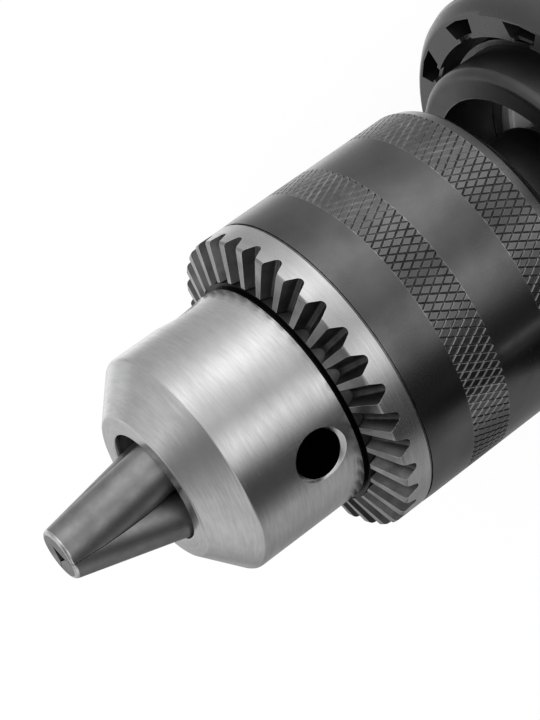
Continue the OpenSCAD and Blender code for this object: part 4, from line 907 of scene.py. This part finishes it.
            # Inside the groove behind the ring and in the nose bore, near-black steel is painted shade; so are the
            # cut jaw bores and key holes, which keep material 1 but for the holes' rims.
            elif station > relief + 0.02 or station > self.nose + 0.5 and radius < self.shank_r + 0.4:
                face.material_index = shaded_bore
            elif face.material_index and radius > self.body_r - 0.7:
                face.material_index = ground
        self.finish("chuck_body_ground", bm, "spindle", "ground_steel",
                    (Finishes.GROUND, Finishes.BORE_SHADE, Finishes.DARK_STEEL_AND_HUB_SHADE, Finishes.MILLED_GAP_SHADE), ("chuck_body",),
                    crease=28.0)

    def _jaw(self, number: int) -> None:
        """One jaw: a sloping rod cut to a wedge, with fine rounded edges; the rounded rim of its end face gets light
        steel, partly wear and partly a painted highlight.

        Args:
            number: The jaw's number, from 0 at the top towards +Y.
        """
        bm = bmesh.new()
        bmesh.ops.create_cone(bm, cap_ends=True, segments=96, radius1=self.jaw_r, radius2=self.jaw_r,
                              depth=self.jaw_length)
        bmesh.ops.translate(bm, vec=(0, 0, self.jaw_length / 2 - self.jaw_ahead), verts=bm.verts[:])
        move(bm, self._jaw_axis())
        low, high = self.jaw_heights
        planes = [((0, 0, 0), (-1, 0, 0)), ((0, 0, low), (0, 0, -1)), ((0, 0, high), (0, 0, 1))]
        for side in (-1, 1):
            out = Vector((0, -side * 0.5, -math.sin(math.radians(60))))
            planes.append((tuple(-self.jaw_gap * out), tuple(out)))
        for place, out in planes:
            halves = bmesh.ops.bisect_plane(bm, geom=whole(bm), dist=1e-5, plane_co=place, plane_no=out,
                                            clear_outer=True)
            rim = [part for part in halves["geom_cut"] if isinstance(part, BMEdge)]
            if rim:
                bmesh.ops.contextual_create(bm, geom=rim)
        heal(bm, 1e-4)

        def on_rim(edge: BMEdge) -> bool:
            """True for an edge of the jaw's end face that lies on the rod's round side."""
            return all(v.co.x < 0.02 and math.hypot(v.co.y, v.co.z) > 2.6 for v in edge.verts)

        # The rim's rounding gets light steel: partly wear, partly a painted highlight.
        for face in round_edges(bm, self.jaw_rim, 20, segments=4, where=on_rim):
            face.material_index = 1
        round_edges(bm, self.jaw_edge, 40)
        move(bm, about_spindle(self.turn + 120 * number))
        self.finish(f"jaw_{number + 1}_ground", bm, f"jaw_{number + 1}", "jaw_steel", (Finishes.JAW, Finishes.EDGE_WEAR_AND_HIGHLIGHT),
                    (f"jaw_{number + 1}",), crease=24.0)

    def _tooth_gap(self, number: int) -> BMesh:
        """The tool that mills one gap between two teeth.

        Args:
            number: The gap's number, from 0 at the top towards +Y.

        Returns:
            The closed shape in mm, in its place.
        """
        half, high, below, long = self.gap_floor, 5.0, -1.2, 9.0
        wide = half + high * math.tan(math.radians(self.gap_flank))
        gap = bmesh.new()
        corners = [gap.verts.new((x, y, below)) for x, y in ((0, -half), (0, half), (-high, wide), (-high, -wide))]
        gap.faces.new(corners)
        bmesh.ops.bevel(gap, geom=corners[:2], offset=self.gap_root, offset_type="OFFSET", affect="VERTICES",
                        segments=3, profile=0.5, material=-1, clamp_overlap=True)
        grown = bmesh.ops.extrude_face_region(gap, geom=gap.faces[:])
        bmesh.ops.translate(gap, vec=(0, 0, long), verts=verts_of(grown["geom"]))
        bmesh.ops.recalc_face_normals(gap, faces=gap.faces[:])
        tilt = math.atan((self.gap_outer - self.gap_inner) / (self.sleeve_r - self.lip_r))
        turn = self.turn + 360 * (number + 0.005) / self.teeth
        move(gap, about_spindle(turn) @ Matrix.Translation((self.sleeve + self.gap_inner, 0, self.lip_r))
             @ Matrix.Rotation(tilt, 4, "Y"))
        return gap

    def _ring(self) -> None:
        """Bright ring at the sleeve's front with its tooth gaps."""
        rim, rear, outer_r = self.sleeve + self.ring_slope, self.sleeve + self.ring_length, self.sleeve_r - 0.05
        profile = [
            (self.sleeve, self.lip_r), (rim, self.sleeve_r - 0.3), (rim + 0.3, outer_r), (rear, outer_r),
            (rear, self.cavity_r), (self.cavity, self.cavity_r), (self.cavity, self.lip_r)]
        bm = turned(profile, steps=self.teeth * 6, corner=0.1, soft={3: 0.12, 1: 0.15, 2: 0.15})
        groups = 3
        # The gaps' cut faces keep material 1, dark grey steel as painted shade.
        for first in range(groups):
            bm = cut(bm, [self._tooth_gap(number) for number in range(first, self.teeth, groups)])
        bmesh.ops.dissolve_limit(bm, angle_limit=math.radians(0.3), verts=bm.verts[:], edges=bm.edges[:])
        bm.normal_update()
        shaded_bore, land, rubbed_and_highlight = 2, 3, 4
        for face in bm.faces:
            station, radius = place_of(face)
            middle = face.calc_center_median()
            outward = (face.normal.y * middle.y + face.normal.z * middle.z) / radius
            # Inner lip, rear face and cavity get near-black steel as painted shade.
            if (outward < -0.8 and radius < self.lip_r + 0.1 or station > rear - 0.05
                    or radius < self.cavity_r and station > self.cavity - 0.15):
                face.material_index = shaded_bore
            elif not face.material_index and outward < 0.9:
                face.material_index = land

        def on_crest(edge: BMEdge) -> bool:
            """True for an edge between a gap's flank and the outside of the ring."""
            middle = (edge.verts[0].co + edge.verts[1].co) / 2
            return math.hypot(middle.y, middle.z) > self.lip_r + 0.3 and middle.x < rear - 1.0

        # The crests' roundings get light steel: partly wear, partly a painted highlight.
        for face in round_edges(bm, self.crest_edge, 33, where=on_crest):
            face.material_index = rubbed_and_highlight
        self.finish("chuck_ring", bm, "chuck_sleeve", "ground_steel",
                    (Finishes.RING_GROUND, Finishes.MILLED_GAP_SHADE, Finishes.BORE_SHADE, Finishes.LAND, Finishes.EDGE_WEAR_AND_HIGHLIGHT),
                    ("chuck_sleeve",), crease=30.0)

    def _sleeve(self) -> None:
        """Blackened sleeve behind the ring, with seats for the two knurls."""
        front, lip = self.sleeve + self.ring_length + 0.01, self.sleeve_r - 0.28
        under = self.sleeve_r - self.knurl_seat
        profile = [(front, self.cavity_r), (front, lip), (front + 0.3, lip), (front + 0.3, self.sleeve_r - 0.06),
                   (self.taper_end, self.sleeve_r)]
        for start, end in self.knurls:
            profile += [(start, self.sleeve_r), (start, under), (end, under), (end, self.sleeve_r)]
        profile += [(self.sleeve_end - 0.5, self.sleeve_r - 0.5), (self.sleeve_end, self.sleeve_r - 1.0),
                    (self.sleeve_end, self.cavity_r)]
        soft = {number: 0.0 for number in range(5, 13)}
        soft.update({3: 0.06, 4: 0.5})
        bm = turned(profile, steps=192, corner=0.12, soft=soft)
        self.finish("sleeve_barrel", bm, "chuck_sleeve", "chuck_sleeve", (Finishes.OXIDE,), ("chuck_sleeve",))

    def _knurl(self, name: str, start: float, end: float) -> None:
        """One band of flat-topped diamonds, rolled flat and wrapped round the sleeve.

        Args:
            name: Name of the piece.
            start: Station of its front end.
            end: Station of its rear end.
        """
        pitch = FULL_TURN * self.sleeve_r / self.knurl_round
        row, rows = pitch / 2 / math.tan(math.radians(self.knurl_angle)), self.knurl_rows
        bm = bmesh.new()
        bmesh.ops.create_circle(bm, cap_ends=True, radius=1.0, segments=4)
        bmesh.ops.scale(bm, vec=(row, pitch / 2, 1.0), verts=bm.verts[:])
        bmesh.ops.inset_individual(bm, faces=bm.faces[:], thickness=self.knurl_flank, depth=0.0,
                                   use_even_offset=True)
        top = max(bm.faces, key=BMFace.calc_area)
        bmesh.ops.translate(bm, vec=(0, 0, self.knurl_depth), verts=top.verts[:])
        bmesh.ops.translate(bm, vec=(0, 0, -self.knurl_depth), verts=bm.verts[:])
        repeat(bm, [(0, pitch * step) for step in range(1, self.knurl_round)])
        repeat(bm, [(row * step, pitch / 2 * step) for step in range(-rows, rows + 1) if step])
        weld(bm, 1e-3)
        bmesh.ops.translate(bm, vec=((start + end) / 2, 0, 0), verts=bm.verts[:])
        for place, out in ((start, -1), (end, 1)):
            bmesh.ops.bisect_plane(bm, geom=whole(bm), dist=1e-5, plane_co=(place, 0, 0), plane_no=(out, 0, 0),
                                   clear_outer=True)
        for vert in bm.verts:
            turn, radius = vert.co.y / self.sleeve_r, self.sleeve_r + vert.co.z
            vert.co = (vert.co.x, radius * math.sin(turn), radius * math.cos(turn))
        weld(bm, 1e-3)
        sides = bmesh.ops.extrude_edge_only(bm, edges=rims(bm))
        under = self.sleeve_r - self.knurl_seat + 0.02
        for vert in verts_of(sides["geom"]):
            inward = under / math.hypot(vert.co.y, vert.co.z)
            vert.co = (vert.co.x, vert.co.y * inward, vert.co.z * inward)
        bmesh.ops.bridge_loops(bm, edges=rims(bm))
        bmesh.ops.recalc_face_normals(bm, faces=bm.faces[:])
        self.finish(name, bm, "chuck_sleeve", "chuck_sleeve", (Finishes.OXIDE,), ("chuck_sleeve",), crease=12.0)


@dataclass
class SpindleGroup(Assembly):
    """Spindle, its gear, the ratchets and the front bearing."""

    spring_x: float = 103.5
    coil: Coil = Coil(middle_r=10.9, wire_r=0.6, length=6.4)

    def build(self) -> None:
        """Builds the group."""
        self.dress("shaft_steel", Finishes.SHAFT, "spindle")
        self.dress("sintered_steel", Finishes.SINTERED, "spindle_gear", "turning_ratchet", "fixed_ratchet")
        self.dress("spring_steel", Finishes.SPRING, "thrust_washer", "retaining_ring")
        self.dress("bearing_steel", Finishes.SATIN, "front_bearing")
        self.dress("sintered_bronze", Finishes.BRONZE, "spindle_bush")
        self.spring("ratchet_spring", self.coil, Matrix.Translation((self.spring_x, 0, 0)),
                    ("hammer_washer", "housing"))


@dataclass
class Motor(Assembly):
    """Armature, field, bearings, brushes and their springs."""

    drop: float = 24.5
    brush_x: float = 208.7
    spring_y: float = 21.85
    coil: Coil = Coil(middle_r=1.9, wire_r=0.3, length=5.65)

    def build(self) -> None:
        """Builds the motor."""
        self.dress("shaft_steel", Finishes.MOTOR_SHAFT, "armature_shaft")
        self.dress("lamination", Finishes.LAMINATION, "armature_core", "field_core")
        self.dress("copper_wire", Finishes.COPPER, "armature_windings", "field_windings")
        self.dress("commutator_copper", Finishes.BARS, "commutator")
        self.dress("black_plastic", Finishes.BLACK, "fan")
        self.dress("bearing_steel", Finishes.MOTOR_BEARING, "motor_front_bearing", "motor_rear_bearing")
        self.dress("soft_rubber", Finishes.SOFT, "bearing_boot")
        self.dress("brass_sheet", Finishes.BRASS, "brush_holder_left", "brush_holder_right")
        self.dress("carbon", Finishes.CARBON, "brush_left", "brush_right")
        for side, name in ((-1, "left"), (1, "right")):
            place = (Matrix.Translation((self.brush_x, side * self.spring_y, -self.drop))
                     @ Matrix.Rotation(side * math.pi / 2, 4, "Z"))
            self.spring(f"brush_spring_{name}", self.coil, place, (f"brush_{name}", "housing"))


@dataclass
class Housing(Assembly):
    """Gear housing, shells, grip pads, screws and the cord's inlet."""

    case_edge: float = 0.35
    shell_edge: float = 0.3
    shell_fold: float = 50.0

    def build(self) -> None:
        """Builds the housing."""
        self.eased("gear_housing", "housing", "gear_case", Finishes.CASE, self.case_edge)
        for node in ("housing_left", "housing_right"):
            self.eased(node, "housing", "shell_plastic", Finishes.SHELL, self.shell_edge, self.shell_fold)
        self.eased("grip_pads", "housing", "soft_rubber", Finishes.SOFT, self.shell_edge, self.shell_fold)
        self.dress("cast_alloy", Finishes.ALLOY, "bearing_plate")
        self.dress("screw_steel", Finishes.SCREW, "gear_housing_screws", "shell_screws", "clamp_screws")
        self.dress("capacitor_case", Finishes.CAPACITOR, "capacitor")
        self.dress("black_plastic", Finishes.BLACK, "cord_clamp")
        self.eased("cord_bush", "housing", "soft_rubber", Finishes.SOFT, self.shell_edge)


@dataclass
class Controls(Assembly):
    """Switch, trigger, dial, buttons and the mode selector."""

    trigger_edge: float = 0.7
    trigger_fold: float = 50.0
    dial_edge: float = 0.2
    button_edges: tuple[tuple[str, float], ...] = (
        ("lock_button", 0.5), ("direction_lever", 0.4), ("mode_selector", 0.3))

    def build(self) -> None:
        """Builds the controls."""
        self.dress("black_plastic", Finishes.BLACK, "switch_body")
        self.eased("trigger", "trigger", "control_plastic", Finishes.CONTROL, self.trigger_edge, self.trigger_fold)
        self.eased("speed_dial", "speed_dial", "dial_plastic", Finishes.DIAL, self.dial_edge)
        for node, size in self.button_edges:
            self.eased(node, node, "control_plastic", Finishes.CONTROL, size)
        self.dress("cast_alloy", Finishes.ALLOY, "selector_plate")


@dataclass
class SideHandle(Assembly):
    """Clamp ring, band, stud, nut, grip and depth rod, in mm. The grip's stations count from the spindle's axis.

    Attributes:
        grip_front: The grip's outline from its flange on: distance from its start, and radius.
        grip_rear: The outline before its dome: distance from its end, and radius.
        grooves: How far the finger grooves keep from the grip's start and end.
    """

    ring_x: float = 83.4
    ring_mid: float = 92.4
    ring_bore: float = 22.33
    ring_r: float = 29.0
    ring_edge: float = 0.35
    grip_start: float = 50.15
    grip_end: float = 166.15
    grip_front: tuple[Point, ...] = (
        (0, 20.0), (1.5, 21.0), (4, 21.0), (6, 19.5), (9, 15.5), (26, 16.8), (63.8, 18.0))
    grip_rear: tuple[Point, ...] = ((18, 16.0), (10, 16.8))
    stud_r: float = 4.3
    stud_end: float = 91.0
    pocket_r: float = 7.45
    pocket_deep: float = 15.95
    dome_r: float = 9.0
    tip_r: float = 7.8
    grooves: Point = (16.0, 14.0)
    groove_pitch: float = 6.6
    groove_depth: float = 0.8
    groove_clear: float = 1.4
    rod_start: float = 63.4
    rod_len: float = 165.0
    rod_r: float = 3.0
    rod_pitch: float = 10.0
    screw_edge: float = 0.3
    rod_y: float = -38.5
    rod_z: float = 9.6

    def build(self) -> None:
        """Builds the side handle."""
        self._clamp_ring()
        self.dress("spring_steel", Finishes.BLUED, "clamp_band")
        self.dress("screw_steel", Finishes.SCREW, "clamp_stud", "clamp_nut")
        self._grip()
        self._rod()
        self.eased("thumb_screw", "thumb_screw", "black_plastic", Finishes.BLACK, self.screw_edge)

    def _clamp_ring(self) -> None:
        """Notched ring with soft edges; its recesses get near-black plastic as painted shade."""
        bm = copied("clamp_ring")
        for face in bm.faces:
            station, radius = place_of(face)
            # Faces inside the recesses get near-black plastic as painted shade.
            if self.ring_bore + 1.7 < radius < self.ring_r - 2.2 and self.ring_x + 0.3 < station < self.ring_mid + 6:
                face.material_index = 1
        round_edges(bm, self.ring_edge, 40)
        self.finish("clamp_ring_moulded", bm, "side_handle", "black_plastic", (Finishes.RING, Finishes.RECESS_SHADE),
                    ("clamp_ring",))

    def _grip_outline(self) -> list[Point]:
        """The grip's outline before its finger grooves: flange, waist, swell and domed end.

        Returns:
            Points of station and radius in mm.
        """
        start, end, dome = self.grip_start, self.grip_end, self.dome_r
        outline = [(start + place, radius) for place, radius in self.grip_front]
        outline += [(end - place, radius) for place, radius in self.grip_rear]
        for angle in map(math.radians, range(10, 90, 10)):
            outline.append((end - dome + dome * math.sin(angle), self.tip_r + dome * math.cos(angle)))
        return outline + [(end, self.tip_r)]

    def _grip(self) -> None:
        """Moulded grip with finger grooves, its bore and the pocket for the nut."""
        start, end = self.grip_start, self.grip_end
        outline = self._grip_outline()

        def radius(place: float) -> float:
            """Radius of the plain outline at a station.

            Args:
                place: The station in mm.

            Returns:
                The radius in mm.
            """
            for (x0, r0), (x1, r1) in zip(outline, outline[1:]):
                if x0 <= place <= x1:
                    return r0 + (r1 - r0) * (place - x0) / (x1 - x0)
            return outline[-1][1]

        profile, rest = [(start, self.stud_r)] + outline[:5], outline[5:]
        centre, last = start + self.grooves[0], end - self.grooves[1]
        while centre < last:
            while rest and rest[0][0] < centre - self.groove_clear:
                profile.append(rest.pop(0))
            while rest and rest[0][0] < centre + self.groove_clear:
                rest.pop(0)
            for shift, deep in ((-1.0, 0.0), (-0.55, 1.0), (0.55, 1.0), (1.0, 0.0)):
                profile.append((centre + shift, radius(centre + shift) - deep * self.groove_depth))
            centre += self.groove_pitch
        profile += rest + [(end, 0.0), (self.stud_end, 0.0), (self.stud_end, self.stud_r)]
        bm = turned(profile, steps=96, corner=0.22)
        pocket, depth = bmesh.new(), 17.0
        bmesh.ops.create_cone(pocket, cap_ends=True, segments=6, radius1=self.pocket_r, radius2=self.pocket_r,
                              depth=depth, matrix=Matrix.Rotation(math.pi / 2, 4, "Y")
                              @ Matrix.Rotation(math.pi / 6, 4, "Z"))
        bmesh.ops.translate(pocket, vec=(start + self.pocket_deep - depth / 2, 0, 0), verts=pocket.verts[:])
        bm = cut(bm, [pocket])
        move(bm, Matrix.Translation((self.ring_mid, 0, 0)) @ Matrix.Rotation(-math.pi / 2, 4, "Z"))
        self.finish("side_grip_moulded", bm, "side_grip", "grip_rubber", (Finishes.GRIP,), ("side_grip",),
                    crease=35.0)

    def _rod(self) -> None:
        """Depth rod with a fine ring cut every ten millimetres."""
        start, end, radius = self.rod_start, self.rod_start + self.rod_len, self.rod_r
        profile = [(start, 0.0), (start, radius - 0.5), (start + 0.8, radius)]
        place = start + self.rod_pitch
        while place < end - 5.0:
            profile += [(place - 0.25, radius), (place - 0.05, radius - 0.2), (place + 0.05, radius - 0.2),
                        (place + 0.25, radius)]
            place += self.rod_pitch
        profile += [(end - 0.8, radius), (end, radius - 0.5), (end, 0.0)]
        bm = turned(profile, steps=64, corner=0.0)
        move(bm, Matrix.Translation((0, self.rod_y, self.rod_z)))
        self.finish("depth_rod_ringed", bm, "depth_rod", "rod_steel", (Finishes.ROD,), ("depth_rod",), crease=35.0)


# Studio


@dataclass
class Studio:
    """Pale floor, soft light and the photograph's camera, in metres.

    Attributes:
        strips: What metal sees to its sides: pairs of angle round X in degrees and brightness.
        ahead: What metal sees in front of the drill: pairs of the direction's Y and brightness.
        lamps: Name, place, side and power of each lamp.
    """

    floor_z: float = -0.1785
    floor_half: float = 6.0
    floor_grey: float = 0.6
    floor_glow: float = 1.26
    floor_seen: float = 0.65
    floor_mirrored: float = 0.92
    eye: tuple[float, float, float] = (-0.05784, -0.10765, 0.23785)
    right: tuple[float, float, float] = (0.76332, -0.64602, 0.0)
    up: tuple[float, float, float] = (0.54920, 0.64893, 0.52657)
    forward: tuple[float, float, float] = (0.34017, 0.40194, -0.85013)
    lens: float = 110.0
    film_height: float = 36.0
    ambient: float = 0.55
    strips: tuple[Point, ...] = (
        (-180, 0.32), (-159, 0.28), (-139, 0.36), (-120, 0.42), (-108, 0.2), (-98, 0.08), (-72, 0.06), (-64, 0.14),
        (-57, 0.42), (-47, 0.85), (-36, 1.2), (-27, 0.9), (-16, 0.5), (-6, 0.68), (5, 0.85), (15, 1.15), (26, 1.42),
        (37, 1.15), (48, 0.85), (67, 0.6), (88, 0.52), (106, 0.55), (117, 0.85), (128, 1.25), (142, 1.0),
        (162, 0.5), (180, 0.34))
    ahead: tuple[Point, ...] = (
        (-1.0, 0.6), (-0.47, 0.70), (-0.42, 0.58), (-0.32, 0.38), (-0.18, 0.24), (0.02, 0.22), (0.2, 0.52),
        (0.38, 0.85), (0.58, 0.66), (0.74, 0.62), (0.84, 0.72), (1.0, 0.8))

    lamps: tuple[tuple, ...] = (
        ("key", (-0.25, -0.55, 0.95), 0.8, 4.0), ("fill", (0.7, 0.5, 0.75), 0.8, 2.0),
        ("beside_camera", (-0.46, -0.43, 0.84), 0.25, 3.4))

    def build(self) -> None:
        """Builds the studio."""
        self._floor()
        self._world()
        for lamp in self.lamps:
            self._lamp(*lamp)
        self._camera()
        bpy.context.scene.view_settings.view_transform = "Standard"

    def _floor(self) -> None:
        """Pale floor, white to the camera, that keeps the drill's shadow."""
        bm = bmesh.new()
        bmesh.ops.create_grid(bm, x_segments=2, y_segments=2, size=self.floor_half / MM)
        bmesh.ops.translate(bm, vec=(0, 0, self.floor_z / MM), verts=bm.verts[:])
        floor = raw_object("floor", bm)
        paper = bpy.data.materials.new("floor_paper")
        paper.use_nodes = True
        paper.node_tree.nodes.clear()
        graph = Graph(paper.node_tree)
        path = graph.add("ShaderNodeLightPath").outputs
        matt = graph.add("ShaderNodeBsdfDiffuse", {"Color": (self.floor_grey,) * 3 + (1.0,)})
        white = graph.add("ShaderNodeEmission", {"Color": WHITE, "Strength": self.floor_glow})
        spot = graph.add("ShaderNodeTexCoord").outputs["Object"]
        way = graph.add("ShaderNodeVectorMath", {0: spot}, operation="NORMALIZE").outputs[0]
        dim = graph.add("ShaderNodeEmission", {"Color": WHITE, "Strength": self._mirrored(graph, way)})
        seen = graph.times(path["Is Camera Ray"], self.floor_seen)
        mirrored = graph.times(path["Is Glossy Ray"], self.floor_mirrored)
        first = graph.add("ShaderNodeMixShader", {0: seen, 1: matt.outputs[0], 2: white.outputs[0]})
        both = graph.add("ShaderNodeMixShader", {0: mirrored, 1: first.outputs[0], 2: dim.outputs[0]})
        graph.add("ShaderNodeOutputMaterial", {"Surface": both.outputs[0]})
        floor.data.materials.append(paper)

    @staticmethod
    def _ramp(graph: Graph, value: object, stops: tuple[Point, ...], low: float, high: float) -> NodeSocket:
        """A number read from stops along a value.

        Args:
            graph: The graph that gets the nodes.
            value: The socket to read along.
            stops: Pairs of place and number.
            low: Place at the start of the ramp.
            high: Place at its end.

        Returns:
            The number's socket.
        """
        most = max(level for _, level in stops)
        node = graph.add("ShaderNodeValToRGB", {0: graph.remap(value, low, high)})
        band = node.color_ramp
        while len(band.elements) > 1:
            band.elements.remove(band.elements[-1])
        for number, (place, level) in enumerate(stops):
            spot = (place - low) / (high - low)
            element = band.elements[0] if number == 0 else band.elements.new(spot)
            element.position = spot
            element.color = (level / most,) * 3 + (1.0,)
        return graph.times(node.outputs[0], most)

    def _mirrored(self, graph: Graph, direction: NodeSocket) -> NodeSocket:
        """What polished metal sees: soft overhead strips, one dark card and a dimmer front.

        Args:
            graph: The graph that gets the nodes.
            direction: Unit direction from the drill.

        Returns:
            The brightness seen that way.
        """
        way = graph.parts(direction)
        round_x = graph.times(graph.math("ARCTAN2", way[1], way[2]), 180 / math.pi)
        strips = self._ramp(graph, round_x, self.strips, -180, 180)
        front = self._ramp(graph, way[1], self.ahead, -1, 1)
        facing = graph.remap(way[0], -0.55, -0.8)
        low = graph.times(graph.remap(way[0], 0.0, -0.35), graph.remap(way[2], -0.1, -0.5))
        lifted = graph.times(low, graph.remap(way[1], 0.3, 0.0), 0.32)
        beyond = graph.times(graph.remap(way[0], 0.08, -0.1), graph.remap(way[2], -0.35, -0.55))
        shade = graph.times(beyond, graph.remap(way[1], 0.3, 0.6), 0.3)
        strips = graph.times(strips, graph.rest(shade))
        aside = graph.times(graph.plus(strips, lifted), graph.rest(facing))
        return graph.plus(graph.times(front, facing), aside)

    def _world(self) -> None:
        """White surroundings; polished metal sees soft overhead strips and one dark card."""
        world = bpy.data.worlds.new("studio")
        bpy.context.scene.world = world
        world.use_nodes = True
        world.cycles.sampling_method = "NONE"
        world.node_tree.nodes.clear()
        graph = Graph(world.node_tree)
        mirrored = self._mirrored(graph, graph.add("ShaderNodeTexCoord").outputs["Generated"])
        path = graph.add("ShaderNodeLightPath").outputs
        soft = graph.math("MAXIMUM", path["Is Camera Ray"], path["Is Transmission Ray"])
        level = graph.plus(soft, graph.times(graph.rest(soft), self.ambient))
        gloss = path["Is Glossy Ray"]
        total = graph.plus(graph.times(gloss, mirrored),
                           graph.times(graph.rest(gloss), level))
        light = graph.add("ShaderNodeBackground", {"Color": WHITE, "Strength": total})
        graph.add("ShaderNodeOutputWorld", {"Surface": light.outputs[0]})

    @staticmethod
    def _lamp(name: str, place: tuple[float, float, float], size: float, power: float) -> None:
        """Adds a square soft lamp that looks at the drill and doesn't show in metal.

        Args:
            name: Name of the lamp.
            place: Where it stands, in metres.
            size: Its side in metres.
            power: Its power in watts.
        """
        data = bpy.data.lights.new(name, "AREA")
        data.shape, data.size, data.energy = "SQUARE", size, power
        lamp = bpy.data.objects.new(name, data)
        aim = Vector(DRILL_MIDDLE) - Vector(place)
        lamp.matrix_world = Matrix.Translation(place) @ aim.to_track_quat("-Z", "Y").to_matrix().to_4x4()
        lamp.visible_glossy = False
        bpy.context.scene.collection.objects.link(lamp)

    def _camera(self) -> None:
        """Camera at the photograph's viewing angle."""
        data = bpy.data.cameras.new("photo_camera")
        data.lens, data.sensor_fit, data.sensor_height = self.lens, "VERTICAL", self.film_height
        data.clip_start, data.clip_end = 0.01, 50.0
        camera = bpy.data.objects.new("photo_camera", data)
        turn = Matrix((self.right, self.up, tuple(-c for c in self.forward))).transposed()
        camera.matrix_world = Matrix.Translation(self.eye) @ turn.to_4x4()
        bpy.context.scene.collection.objects.link(camera)
        bpy.context.scene.camera = camera


def main() -> None:
    """Builds the drill and the studio in order."""
    logging.basicConfig(level=logging.INFO, format="%(name)s, %(relativeCreated)d ms: %(message)s")
    for part in (Chuck(), SpindleGroup(), Motor(), Housing(), Controls(), SideHandle(), Studio()):
        LOG.info("building %s", type(part).__name__)
        part.build()


if __name__ == "__main__":
    main()
